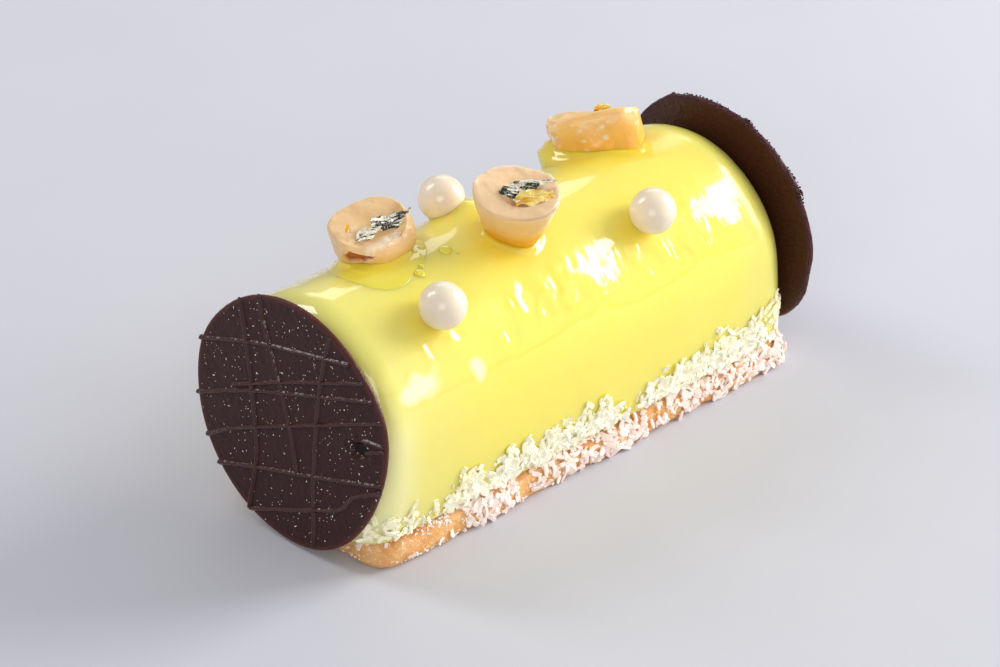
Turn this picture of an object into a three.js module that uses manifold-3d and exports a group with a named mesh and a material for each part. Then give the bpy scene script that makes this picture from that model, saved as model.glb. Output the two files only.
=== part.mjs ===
// Individual yule log: a glazed log on a shortbread base, closed at each end by a thin
// chocolate disc, with nut halves, chocolate pearls and metal leaf on top and a band of
// desiccated coconut round its foot. Millimetres, Z up. The log lies along X, from the
// drizzled disc to the far disc, and its front is -Y.
import * as THREE from 'three';
import { mergeVertices } from 'three/addons/utils/BufferGeometryUtils.js';
import Module from 'manifold-3d';

const wasm = await Module();
wasm.setup();

// Gap that neighbouring pieces keep.
const GAP = 0.3;

// Shortbread base: a flat rounded slab.
const BASE_START = 2.2;
const BASE_END = 104.8;
const BASE_SKEW = 0.07;
const BASE_HALF_WIDTH = 19.2;
const BASE_HEIGHT = 5.85;
const BASE_CORNER = 5;
const BASE_UNEVEN = 0.3;
const BASE_CORNER_STEPS = 5;
const BASE_SIDE_STEPS = 12;
// How far the side is drawn in at each height, from the foot up.
const BASE_PROFILE = [[1.0, 0], [0.25, 0.7], [0, 2.4], [0.3, 4.2], [1.1, 5.4], [2.4, BASE_HEIGHT]];

// Log: a rounded top on sides that narrow towards the base.
const LOG_HALF_WIDTH = 20.6;
const LOG_WIDEST = 23;
const LOG_TOP = 44.4;
const LOG_FOOT = BASE_HEIGHT + GAP;
const LOG_FOOT_HALF_WIDTH = 18.8;
const LOG_EDGES = { near: 5.5, far: 8.5 };
const LOG_ARC_STEPS = 22;
const LOG_SIDE_STEPS = 4;
const LOG_FOOT_STEPS = 3;
const LOG_EDGE_STEPS = 4;
const LOG_STATIONS = 18;

// Places where the glaze stands proud: round the third nut, the second nut and a pearl.
// A swell rises slowly from the log. The bead is a steep-sided drop under the third nut,
// with its half sizes and its turn about Z in degrees.
const MOUNDS = [
  { x: 78.0, y: 6.0, height: 0.9, spread: 5.0 },
  { x: 45.5, y: 5.0, height: 0.8, spread: 6.0 },
  { x: 47.0, y: -6.5, height: 0.5, spread: 7.0 },
];

const BEAD = { place: [75.4, 8.3, 42.7], size: [6.9, 5.2, 2.9], turn: -42 };

// Discs. Turns are degrees: yaw about Z, tilt about Y.
const NEAR_DISC = { centre: [0, 0, 23.25], radius: 22.4, thickness: 0.9, yaw: 3.1, tilt: 3.7 };
const FAR_DISC = { centre: [103.9, -1.1, 25.2], radius: 23, thickness: 1.1, yaw: 0.6, tilt: -7.1 };
const DISC_SIDES = 60;
const DISC_BEVEL = 0.2;

// Swellings and hollows of the rims: angle from +Y towards +Z, height, spread in degrees.
const NEAR_RIM = [[158, 1.1, 14], [205, -0.6, 18], [253, 0.5, 16], [20, 0.4, 12]];
const FAR_RIM = [[110, 0.45, 3], [144, 0.6, 4], [195, -0.6, 8], [128, 0.3, 9], [62, 0.3, 4]];

// Drizzled lines, as points (y, z) in the plane of the disc, and their half width.
const LINE = 0.42;
const LINE_STEP = 6.5;
const NEAR_LINES = [
  [[12.2, 18.9], [11.0, 13.9], [9.1, 3.8], [7.7, -6.0], [7.7, -11.4], [9.3, -20.6]],
  [[7.6, 21.3], [6.4, 16.5], [2.6, 7.2], [-0.2, -0.5], [-2.2, -8.9]],
  [[-9.0, 19.9], [-7.3, 10.6], [-6.5, 1.9], [-6.2, -8.9], [-6.5, -21.6]],
  [[22.0, 7.4], [11.2, 11.0], [4.1, 12.9], [-7.2, 15.2], [-13.9, 16.6]],
  [[13.8, 1.7], [-0.4, 7.9], [-17.2, 14.5]],
  [[22.6, -3.4], [8.8, 2.5], [-7.0, 7.9], [-19.4, 12.0]],
  [[19.9, -10.6], [13.7, -6.9], [-0.6, -0.3], [-21.6, 9.0]],
  [[17.1, -14.9], [8.1, -11.9], [-6.1, -7.7], [-22.2, -2.7]],
  [[9.3, -20.6], [0.8, -17.2], [-6.3, -14.1], [-12.4, -11.3], [-15.7, -7.5], [-22.0, -3.8]],
  [[-17.9, 1.9], [-22.3, 4.0]],
];
const FAR_LINES = [
  [[-7.9, 22.1], [-6.8, 12.0], [-4.6, 2.0], [-3.9, -9.0], [-5.0, -22.0]],
  [[10.6, 20.9], [9.0, 11.0], [6.2, 1.5], [5.0, -8.0], [4.6, -18.0]],
  [[-18.7, 13.9], [-6.0, 11.4], [8.0, 14.0], [17.4, 14.6]],
  [[-22.4, 4.0], [-9.0, 5.2], [6.0, 3.4], [22.8, 5.0]],
  [[-22.0, -5.2], [-8.0, -3.2], [7.0, -6.0], [21.8, -5.4]],
  [[-18.6, -12.6], [-4.0, -12.0], [10.0, -13.6], [17.6, -13.6]],
];

// Small pit in the near disc: place in its plane, and radii.
const PIT = { y: -17.2, z: 2.3, long: 1.3, high: 1.1, deep: 0.5 };

// Nut halves: a rounded base, a cut face on top with a hollow in it. base is the base's
// share of the length and width, square is the bluntness of the plan, hollow is the
// hollow's share of the length and of the width, wave the rise and fall of the rim.
const NUTS = [
  {
    name: 'nut_1', length: 15.2, width: 12.6, height: 8.4, base: 0.72, square: 2.4,
    hollow: [0.74, 0.36], depth: 1.8, wave: 0.5, phase: 0.5, place: [25.35, 7.65, 41.6], turn: [16, -4, -12],
  },
  {
    name: 'nut_2', length: 14.1, width: 12.8, height: 11.6, base: 0.54, square: 2.2,
    hollow: [0.74, 0.66], depth: 4.2, wave: 0.4, phase: 2.2, place: [46.5, -5.4, 42.5], turn: [17, 2, -40],
  },
  {
    name: 'nut_3', length: 17.2, width: 9.6, height: 9.4, base: 0.9, square: 3.2,
    hollow: [0.66, 0.5], depth: 1.6, wave: 0.6, phase: 3.6, place: [78.2, 5.2, 41.0], turn: [-22, -10, -42],
  },
];
const NUT_SIDES = 20;

// Pearls.
const PEARL_RADIUS = 4.1;
const PEARLS = [
  { name: 'pearl_1', place: [21.9, -14.3, 43.1] },
  { name: 'pearl_2', place: [70.7, -15.0, 42.6] },
  { name: 'pearl_3', place: [42.9, 8.7, 46.2] },
];

// Crumpled bits of metal leaf, each lying on a nut: place, turn and size.
const LEAF_THICKNESS = 0.3;
const LEAVES = [
  {
    name: 'silver_leaf_1', metal: 'silver', nut: 0, at: [1.4, -0.9, 9.65], turn: [18, -4, 8],
    length: 10.4, width: 2.8, wave: 0.7, seed: 3, across: 5, along: 8,
  },
  {
    name: 'gold_leaf_1', metal: 'gold', nut: 0, at: [-5.0, 0.2, 9.3], turn: [10, 0, 60],
    length: 1.8, width: 1.2, wave: 0.2, seed: 5, across: 3, along: 4,
  },
  {
    name: 'silver_leaf_2', metal: 'silver', nut: 1, at: [1.0, 0.3, 12.4], turn: [16, -6, 8],
    length: 10.2, width: 2.8, wave: 0.5, seed: 7, across: 5, along: 8,
  },
  {
    name: 'gold_leaf_2', metal: 'gold', nut: 1, at: [1.6, -2.1, 12.3], turn: [24, -4, 12],
    length: 6.6, width: 2.0, wave: 0.4, seed: 9, across: 4, along: 6,
  },
  {
    name: 'gold_leaf_3', metal: 'gold', nut: 2, at: [1.9, 0.9, 9.6], turn: [60, 0, 20],
    length: 3.0, width: 2.4, wave: 0.5, seed: 11, across: 4, along: 4,
  },
];

// Coconut: flake length, width and thickness, how many lie on each piece and side, and the
// stretch along X and the heights that they lie on.
const FLAKE = { length: [1.8, 3.2], width: [0.8, 1.3], thickness: [0.35, 0.6] };
const LEAST_FLAKE = 0.5;
const LEAST_HOLD = 0.15;
const COCONUT_LAYER = 0.35;
const COCONUT_LUMPS = 0.3;
const LOG_FLAKES = 46;
const BASE_FLAKES = 31;
const CORNER_FLAKES = 9;
const LOG_STRETCH = [7, 95];
const BASE_STRETCH = [9, 101];
const BASE_FLAKE_HEIGHTS = [1.7, 5.0];
const CORNER_TOP = 19;

const rad = THREE.MathUtils.degToRad;

// Seeded draw between 0 and 1.
function draws(seed) {
  let state = seed;
  return () => {
    state = (state * 1664525 + 1013904223) % 4294967296;
    return state / 4294967296;
  };
}

const between = ([low, high], share) => low + (high - low) * share;

// Closed skin through rings of points, with each end closed to the middle of its ring.
function skin(rings) {
  const count = rings[0].length;
  const points = rings.flat();
  const faces = [];
  for (let i = 0; i + 1 < rings.length; i += 1) {
    for (let j = 0; j < count; j += 1) {
      const a = i * count + j;
      const b = i * count + (j + 1) % count;
      faces.push(a, b, a + count, b, b + count, a + count);
    }
  }
  const ends = [[0, true], [rings.length - 1, false]];
  for (const [row, first] of ends) {
    const middle = rings[row].reduce((sum, p) => sum.add(p), new THREE.Vector3()).divideScalar(count);
    points.push(middle);
    for (let j = 0; j < count; j += 1) {
      const a = row * count + j;
      const b = row * count + (j + 1) % count;
      faces.push(...(first ? [points.length - 1, b, a] : [points.length - 1, a, b]));
    }
  }
  const geometry = new THREE.BufferGeometry().setFromPoints(points);
  geometry.setIndex(faces);
  return outward(geometry);
}

// Turns the faces of a closed geometry outwards.
function outward(geometry) {
  const place = geometry.getAttribute('position');
  const index = geometry.getIndex();
  const [a, b, c] = [new THREE.Vector3(), new THREE.Vector3(), new THREE.Vector3()];
  let volume = 0;
  for (let i = 0; i < index.count; i += 3) {
    a.fromBufferAttribute(place, index.getX(i));
    b.fromBufferAttribute(place, index.getX(i + 1));
    c.fromBufferAttribute(place, index.getX(i + 2));
    volume += a.dot(b.cross(c));
  }
  if (volume < 0) {
    for (let i = 0; i < index.count; i += 3) {
      const swap = index.getX(i + 1);
      index.setX(i + 1, index.getX(i + 2));
      index.setX(i + 2, swap);
    }
  }
  return geometry;
}

// Geometry to solid and back.
function solid(geometry) {
  const bare = geometry.clone();
  bare.deleteAttribute('normal');
  bare.deleteAttribute('uv');
  const merged = outward(mergeVertices(bare, 1e-4));
  return new wasm.Manifold(new wasm.Mesh({
    numProp: 3,
    vertProperties: new Float32Array(merged.getAttribute('position').array),
    triVerts: new Uint32Array(merged.getIndex().array),
  }));
}

function geometryOf(shape) {
  const mesh = shape.getMesh();
  const geometry = new THREE.BufferGeometry();
  geometry.setAttribute('position', new THREE.BufferAttribute(new Float32Array(mesh.vertProperties), 3));
  geometry.setIndex(new THREE.BufferAttribute(new Uint32Array(mesh.triVerts), 1));
  geometry.computeVertexNormals();
  return geometry;
}

// Frame of a disc, and where its inner face meets the log at a given y and z.
function discFrame(disc) {
  const turn = new THREE.Euler(0, rad(disc.tilt), rad(disc.yaw), 'ZYX');
  const normal = new THREE.Vector3(1, 0, 0).applyEuler(turn);
  return { turn, normal, centre: new THREE.Vector3(...disc.centre) };
}

const near = discFrame(NEAR_DISC);
const far = discFrame(FAR_DISC);

function planeX(frame, offset, y, z) {
  const { normal, centre } = frame;
  const along = offset - normal.y * (y - centre.y) - normal.z * (z - centre.z);
  return centre.x + along / normal.x;
}

// Height of the proud glaze at a point of the log's top.
function glazeLift(x, y) {
  return MOUNDS.reduce((sum, m) => {
    const gone = ((x - m.x) ** 2 + (y - m.y) ** 2) / (2 * m.spread ** 2);
    return sum + m.height * Math.exp(-gone);
  }, 0);
}

// How far up the log's side the coconut reaches, at a place along it.
function bandTop(x) {
  const { smoothstep } = THREE.MathUtils;
  return 9.5 + 3.5 * smoothstep(x, 15, 60) + 3 * smoothstep(x, 70, 98);
}

// Lumpy layer of fine coconut, as thickness over the log's side.
function coconutLayer(x, y, z) {
  const inside = THREE.MathUtils.clamp((bandTop(x) + 1 - z) / 3, 0, 1);
  const lumps = Math.sin(x * 2.1 + z * 0.9) * Math.sin(x * 0.83 + y + z * 1.7);
  return inside * (COCONUT_LAYER + COCONUT_LUMPS * lumps);
}

// Half width of the log's side at a height below its widest line.
function sideHalfWidth(z, inset = 0) {
  const wide = LOG_HALF_WIDTH - inset;
  const foot = LOG_FOOT_HALF_WIDTH - inset;
  const share = (LOG_WIDEST - z) / (LOG_WIDEST - LOG_FOOT);
  return wide * Math.sqrt(1 - (1 - (foot / wide) ** 2) * share ** 2);
}

// Section of the log, as [y, z], drawn in by inset.
function logSection(inset, foot) {
  const wide = LOG_HALF_WIDTH - inset;
  const rise = LOG_TOP - inset - LOG_WIDEST;
  const section = [];
  for (let i = 0; i <= LOG_ARC_STEPS; i += 1) {
    const a = Math.PI * i / LOG_ARC_STEPS;
    section.push([wide * Math.cos(a), LOG_WIDEST + rise * Math.sin(a)]);
  }
  const drop = LOG_WIDEST - foot;
  for (let i = 1; i <= LOG_SIDE_STEPS; i += 1) {
    const z = LOG_WIDEST - drop * i / LOG_SIDE_STEPS;
    section.push([-sideHalfWidth(Math.max(z, LOG_FOOT), inset), z]);
  }
  const edge = sideHalfWidth(LOG_FOOT, inset);
  for (let i = 1; i < LOG_FOOT_STEPS; i += 1) {
    section.push([edge * (2 * i / LOG_FOOT_STEPS - 1), foot]);
  }
  for (let i = LOG_SIDE_STEPS; i >= 1; i -= 1) {
    const z = LOG_WIDEST - drop * i / LOG_SIDE_STEPS;
    section.push([sideHalfWidth(Math.max(z, LOG_FOOT), inset), z]);
  }
  return section;
}

// The log as a geometry, grown all round by grow.
function logGeometry(grow) {
  const rings = [];
  const ring = (inset, placeX) => {
    rings.push(logSection(inset - grow, LOG_FOOT - grow).map(([y, z]) => {
      const x = placeX(y, z);
      const up = Math.max(0, (z - LOG_WIDEST) / (LOG_TOP - LOG_WIDEST));
      const lift = glazeLift(x, y) * up;
      const out = new THREE.Vector2(y, z - LOG_WIDEST).normalize().multiplyScalar(lift);
      const layer = Math.abs(y) > LOG_FOOT_HALF_WIDTH / 2 ? Math.sign(y) * coconutLayer(x, y, z) : 0;
      return new THREE.Vector3(x, y + out.x + layer, z + out.y);
    }));
  };
  const start = (y, z) => planeX(near, NEAR_DISC.thickness + GAP - grow, y, z);
  const end = (y, z) => planeX(far, -FAR_DISC.thickness - GAP + grow, y, z);
  for (let i = 0; i <= LOG_EDGE_STEPS; i += 1) {
    const q = Math.PI / 2 * i / LOG_EDGE_STEPS;
    const edge = LOG_EDGES.near;
    ring(edge * (1 - Math.sin(q)), (y, z) => start(y, z) + edge * (1 - Math.cos(q)));
  }
  for (let i = 1; i < LOG_STATIONS; i += 1) {
    const share = i / LOG_STATIONS;
    ring(0, (y, z) => between([start(y, z) + LOG_EDGES.near, end(y, z) - LOG_EDGES.far], share));
  }
  for (let i = LOG_EDGE_STEPS; i >= 0; i -= 1) {
    const q = Math.PI / 2 * i / LOG_EDGE_STEPS;
    const edge = LOG_EDGES.far;
    ring(edge * (1 - Math.sin(q)), (y, z) => end(y, z) - edge * (1 - Math.cos(q)));
  }
  return skin(rings);
}

// Outline of the base, drawn in by inset, with slow waves along its sides.
function baseOutline(inset) {
  const halfLength = (BASE_END - BASE_START) / 2;
  const middle = (BASE_END + BASE_START) / 2;
  const outline = [];
  const corners = [[1, 1, 0], [-1, 1, 90], [-1, -1, 180], [1, -1, 270]];
  for (const [sx, sy, from] of corners) {
    const cx = sx * (halfLength - BASE_CORNER);
    const cy = sy * (BASE_HALF_WIDTH - BASE_CORNER);
    const run = [];
    for (let i = 0; i <= BASE_CORNER_STEPS; i += 1) {
      const a = rad(from + 90 * i / BASE_CORNER_STEPS);
      const r = BASE_CORNER - inset;
      run.push([cx + r * Math.cos(a), cy + r * Math.sin(a)]);
    }
    outline.push(...run);
    if (from === 0 || from === 180) {
      const ends = [cx, -cx];
      for (let i = 1; i < BASE_SIDE_STEPS; i += 1) {
        outline.push([between(ends, i / BASE_SIDE_STEPS), sy * (BASE_HALF_WIDTH - inset)]);
      }
    }
  }
  return outline.map(([x, y]) => {
    const wave = BASE_UNEVEN * Math.sin(x * 0.31 + (y > 0 ? 2 : 0)) * Math.sin(x * 0.11 + 1);
    const skew = BASE_SKEW * y * Math.max(0, 0.5 - x / (2 * halfLength));
    return [middle + x - skew, y * (1 + wave / BASE_HALF_WIDTH)];
  });
}

function baseGeometry() {
  return skin(BASE_PROFILE.map(([inset, z]) => (
    baseOutline(inset).map(([x, y]) => new THREE.Vector3(x, y, z))
  )));
}

// Radius of a disc's rim at an angle in degrees.
function rimRadius(disc, rim, angle) {
  return rim.reduce((sum, [at, height, spread]) => {
    const off = ((angle - at + 540) % 360) - 180;
    return sum + height * Math.exp(-((off / spread) ** 2) / 2);
  }, disc.radius);
}

// A disc in its own frame: its face with the lines at x = 0 facing the side given (-1 or 1).
function discSolid(disc, rim, lines, side) {
  const outline = [];
  for (let i = 0; i < DISC_SIDES; i += 1) {
    const angle = 360 * i / DISC_SIDES;
    const r = rimRadius(disc, rim, angle) - DISC_BEVEL;
    outline.push(new THREE.Vector2(r * Math.cos(rad(angle)), r * Math.sin(rad(angle))));
  }
  const plate = new THREE.ExtrudeGeometry(new THREE.Shape(outline), {
    depth: disc.thickness - 2 * DISC_BEVEL,
    bevelThickness: DISC_BEVEL,
    bevelSize: DISC_BEVEL,
    bevelSegments: 1,
    steps: 1,
  });
  plate.translate(0, 0, DISC_BEVEL);
  plate.applyMatrix4(new THREE.Matrix4().makeBasis(
    new THREE.Vector3(0, 1, 0), new THREE.Vector3(0, 0, 1), new THREE.Vector3(1, 0, 0)));
  if (side > 0) {
    plate.translate(-disc.thickness, 0, 0);
  }
  let body = solid(plate);
  const section = new THREE.Shape();
  section.absarc(0, 0, LINE, 0, 2 * Math.PI);
  for (const line of lines) {
    const path = new THREE.CatmullRomCurve3(line.map(([y, z]) => new THREE.Vector3(0, y, z)));
    const tube = new THREE.ExtrudeGeometry(section, {
      extrudePath: path,
      steps: Math.max(3, Math.round(path.getLength() / LINE_STEP)),
      curveSegments: 3,
      bevelEnabled: false,
    });
    body = body.add(solid(tube));
  }
  return body;
}

function nearDiscSolid() {
  const pit = new THREE.IcosahedronGeometry(1, 1);
  pit.scale(PIT.deep, PIT.long, PIT.high);
  pit.translate(0, PIT.y, PIT.z);
  return discSolid(NEAR_DISC, NEAR_RIM, NEAR_LINES, -1).subtract(solid(pit));
}

// A nut half in its own frame, standing on z = 0.
function nutGeometry(nut) {
  const { length, width, height, base, square, hollow, depth, wave, phase } = nut;
  const outer = [
    [base * 0.6, 0, 0],
    [base * 0.95, 0.06, 0],
    [base + (1 - base) * 0.42, 0.32, 0.1],
    [base + (1 - base) * 0.82, 0.64, 0.4],
    [1, 0.88, 0.8],
    [0.97, 0.97, 1],
    [0.9, 1, 1],
  ];
  const inner = [
    [1.06, 0.995, 0.9],
    [0.92, 1 - 0.35 * depth / height, 0.7],
    [0.6, 1 - 0.85 * depth / height, 0.4],
    [0.25, 1 - depth / height, 0.2],
  ];
  const profile = [
    ...outer.map(([share, rise, waved]) => [share, share, rise, waved]),
    ...inner.map(([share, rise, waved]) => [share * hollow[0], share * hollow[1], rise, waved]),
  ];
  return skin(profile.map(([long, wide, rise, waved]) => {
    const ring = [];
    for (let i = 0; i < NUT_SIDES; i += 1) {
      const a = 2 * Math.PI * i / NUT_SIDES;
      const c = Math.cos(a);
      const s = Math.sin(a);
      const blunt = (Math.abs(c) ** square + Math.abs(s) ** square) ** (-1 / square);
      const rough = 1 + 0.035 * Math.sin(2 * a + phase) + 0.025 * Math.sin(3 * a + 2 * phase);
      const z = height * rise + waved * wave * Math.sin(2 * a + phase);
      ring.push(new THREE.Vector3(
        long * blunt * rough * c * length / 2,
        wide * blunt * rough * s * width / 2,
        z));
    }
    return ring;
  }));
}

// A crumpled leaf: both faces split alike, joined round the edge.
function leafGeometry(leaf) {
  const draw = draws(leaf.seed);
  const { across, along } = leaf;
  const rings = [];
  for (let i = 0; i < along; i += 1) {
    const u = i / (along - 1);
    const belly = 0.28 + 0.72 * Math.sin(Math.PI * Math.min(1, u * 0.86 + 0.1));
    const half = leaf.width / 2 * belly * (0.8 + 0.4 * draw());
    const shift = leaf.width * 0.22 * (draw() - 0.5);
    const row = [];
    for (let j = 0; j < across; j += 1) {
      const v = j / (across - 1) * 2 - 1;
      const z = leaf.wave * (Math.sin(u * 11 + v * 1.7 + leaf.seed) * 0.5 + (draw() - 0.5) * 0.7);
      row.push(new THREE.Vector3((u - 0.5) * leaf.length, v * half + shift, z));
    }
    const under = row.map((p) => p.clone().add(new THREE.Vector3(0, 0, -LEAF_THICKNESS))).reverse();
    rings.push([...row, ...under]);
  }
  return skinStrip(rings, across);
}

// Skin of a leaf: the ends are closed by strips, so that both faces split alike.
function skinStrip(rings, across) {
  const count = rings[0].length;
  const points = rings.flat();
  const faces = [];
  const last = (rings.length - 1) * count;
  for (let i = 0; i + 1 < rings.length; i += 1) {
    for (let j = 0; j < count; j += 1) {
      const a = i * count + j;
      const b = i * count + (j + 1) % count;
      if (j < across) {
        faces.push(a, b, b + count, a, b + count, a + count);
      } else {
        faces.push(a, b, a + count, b, b + count, a + count);
      }
    }
  }
  for (let j = 0; j + 1 < across; j += 1) {
    const a = j;
    const b = j + 1;
    const c = count - 1 - j;
    const d = count - 2 - j;
    faces.push(a, c, b, b, c, d);
    faces.push(last + a, last + b, last + c, last + b, last + d, last + c);
  }
  const geometry = new THREE.BufferGeometry().setFromPoints(points);
  geometry.setIndex(faces);
  return outward(geometry);
}

// One flake: a skewed sliver, narrower at one end.
function flakeGeometry(draw) {
  const length = between(FLAKE.length, draw());
  const width = between(FLAKE.width, draw());
  const flake = new THREE.BoxGeometry(length, width, between(FLAKE.thickness, draw()));
  const place = flake.getAttribute('position');
  const skew = (draw() - 0.5) * 0.7;
  const narrow = 0.5 + 0.4 * draw();
  for (let i = 0; i < place.count; i += 1) {
    const end = place.getX(i) > 0;
    place.setXYZ(i,
      place.getX(i) + skew * place.getY(i),
      place.getY(i) * (end ? narrow : 1),
      place.getZ(i) * (end ? 0.8 : 1));
  }
  return flake;
}

// Fuses flakes to a body. A flake is trimmed by the clear solid, and skipped where what is
// left of it no longer meets the body.
function fuseFlakes(body, clear, places, draw) {
  let fused = body;
  for (const { at, out } of places) {
    const flake = flakeGeometry(draw);
    const tip = new THREE.Vector3(draw() - 0.5, draw() - 0.5, draw() - 0.5).multiplyScalar(1.1);
    const normal = out.clone().add(tip).normalize();
    const side = new THREE.Vector3(draw() - 0.5, draw() - 0.5, draw() - 0.5).cross(normal).normalize();
    flake.applyMatrix4(new THREE.Matrix4().makeBasis(side, normal.clone().cross(side), normal));
    flake.translate(at.x, at.y, at.z);
    const piece = solid(flake).subtract(clear);
    if (piece.volume() > LEAST_FLAKE && piece.intersect(body).volume() > LEAST_HOLD) {
      fused = fused.add(piece);
    }
  }
  return fused;
}

// Places of the flakes on the log: along both sides, and up the far corners.
function logFlakePlaces(draw) {
  const places = [];
  for (const side of [-1, 1]) {
    for (let i = 0; i < LOG_FLAKES; i += 1) {
      const x = between(LOG_STRETCH, (i + draw()) / LOG_FLAKES);
      const rise = draw() ** 1.4;
      const z = between([LOG_FOOT + 0.9, bandTop(x)], rise);
      places.push({
        at: new THREE.Vector3(x, side * (sideHalfWidth(z) + COCONUT_LAYER), z),
        out: new THREE.Vector3(0, side, -0.15),
      });
    }
    for (let i = 0; i < CORNER_FLAKES; i += 1) {
      const q = rad(90 * (i + draw()) / CORNER_FLAKES);
      const z = between([LOG_FOOT + 1, CORNER_TOP], draw() ** 1.3);
      const edge = LOG_EDGES.far;
      const y = sideHalfWidth(z) - edge * (1 - Math.cos(q));
      const x = planeX(far, -FAR_DISC.thickness - GAP, side * y, z) - edge * (1 - Math.sin(q));
      places.push({
        at: new THREE.Vector3(x, side * y, z),
        out: new THREE.Vector3(Math.sin(q), side * Math.cos(q), 0),
      });
    }
  }
  return places;
}

function baseFlakePlaces(draw) {
  const places = [];
  for (const side of [-1, 1]) {
    for (let i = 0; i < BASE_FLAKES; i += 1) {
      const x = between(BASE_STRETCH, (i + draw()) / BASE_FLAKES);
      const z = between(BASE_FLAKE_HEIGHTS, draw());
      const drawnIn = 0.1 + 0.25 * Math.max(0, z - 3.5);
      places.push({
        at: new THREE.Vector3(x, side * (BASE_HALF_WIDTH - drawnIn), z),
        out: new THREE.Vector3(0, side, 0.2),
      });
    }
  }
  return places;
}

// A block that covers what a fused flake must stay clear of: below or above a level, and
// the two discs.
function clearOf(low, high) {
  const slab = new THREE.BoxGeometry(200, 120, high - low);
  slab.translate(50, 0, (low + high) / 2);
  let block = solid(slab);
  for (const [disc, frame, from] of [[NEAR_DISC, near, 0], [FAR_DISC, far, -FAR_DISC.thickness]]) {
    const wall = new THREE.BoxGeometry(disc.thickness + 2 * GAP + 0.4, 80, 80);
    wall.translate(from + disc.thickness / 2, 0, 0);
    wall.applyMatrix4(new THREE.Matrix4().makeRotationFromEuler(frame.turn));
    wall.translate(...disc.centre);
    block = block.add(solid(wall));
  }
  return block;
}

const FINISH = {
  glaze: { color: 0xfbee6a, roughness: 0.12, metalness: 0 },
  shortbread: { color: 0xdea468, roughness: 0.8, metalness: 0 },
  chocolate: { color: 0x3c2a2b, roughness: 0.45, metalness: 0 },
  nut: { color: 0xedb978, roughness: 0.4, metalness: 0 },
  pearl: { color: 0xebdcc3, roughness: 0.25, metalness: 0 },
  silver: { color: 0xd8d2c4, roughness: 0.2, metalness: 1 },
  gold: { color: 0xf0c24a, roughness: 0.2, metalness: 1 },
};

function piece(name, geometry, finish) {
  const mesh = new THREE.Mesh(geometry, new THREE.MeshStandardMaterial(FINISH[finish]));
  mesh.name = name;
  return mesh;
}

// The bead of glaze, grown all round by grow and moved by shift.
function beadSolid(grow, shift = [0, 0, 0]) {
  const bead = new THREE.SphereGeometry(1, 14, 8);
  bead.scale(...BEAD.size.map((half) => half + grow));
  bead.rotateZ(rad(BEAD.turn));
  bead.translate(...BEAD.place);
  bead.translate(...shift);
  return solid(bead);
}

const cake = new THREE.Group();

const logBody = solid(logGeometry(0)).add(beadSolid(0));
const grownLog = solid(logGeometry(GAP)).add(beadSolid(GAP)).add(beadSolid(GAP, [0, 2, -3]));
const logDraw = draws(21);
const log = fuseFlakes(logBody, clearOf(-20, LOG_FOOT), logFlakePlaces(logDraw), logDraw);
cake.add(piece('log', geometryOf(log), 'glaze'));

const baseDraw = draws(35);
const baseClear = clearOf(BASE_HEIGHT - 0.2, BASE_HEIGHT + 40);
const base = fuseFlakes(solid(baseGeometry()), baseClear, baseFlakePlaces(baseDraw), baseDraw);
cake.add(piece('base', geometryOf(base), 'shortbread'));

const discs = [
  ['disc_near', NEAR_DISC, near, nearDiscSolid()],
  ['disc_far', FAR_DISC, far, discSolid(FAR_DISC, FAR_RIM, FAR_LINES, 1)],
];
for (const [name, disc, frame, shape] of discs) {
  const mesh = piece(name, geometryOf(shape), 'chocolate');
  mesh.position.set(...disc.centre);
  mesh.rotation.copy(frame.turn);
  cake.add(mesh);
}

// What stands on the log is cut to its surface, in the piece's own frame.
function seated(geometry, matrix) {
  const seat = geometryOf(grownLog);
  seat.applyMatrix4(matrix.clone().invert());
  return geometryOf(solid(geometry).subtract(solid(seat)));
}

const nutGroups = NUTS.map((nut) => {
  const group = new THREE.Group();
  group.position.set(...nut.place);
  group.rotation.set(...nut.turn.map(rad), 'ZYX');
  group.updateMatrix();
  group.add(piece(nut.name, seated(nutGeometry(nut), group.matrix), 'nut'));
  cake.add(group);
  return group;
});

for (const leaf of LEAVES) {
  const mesh = piece(leaf.name, leafGeometry(leaf), leaf.metal);
  mesh.position.set(...leaf.at);
  mesh.rotation.set(...leaf.turn.map(rad), 'ZYX');
  nutGroups[leaf.nut].add(mesh);
}

for (const pearl of PEARLS) {
  const matrix = new THREE.Matrix4().makeTranslation(...pearl.place);
  const mesh = piece(pearl.name, seated(new THREE.IcosahedronGeometry(PEARL_RADIUS, 2), matrix), 'pearl');
  mesh.position.set(...pearl.place);
  cake.add(mesh);
}

// The part's origin is under the middle of its box, at its foot.
const box = new THREE.Box3().setFromObject(cake, true);
cake.position.set(-(box.min.x + box.max.x) / 2, -(box.min.y + box.max.y) / 2, -box.min.z);

const part = new THREE.Group();
part.add(cake);

export default part;
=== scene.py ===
import math

import bpy
import numpy as np
from mathutils import Matrix, Vector


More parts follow.
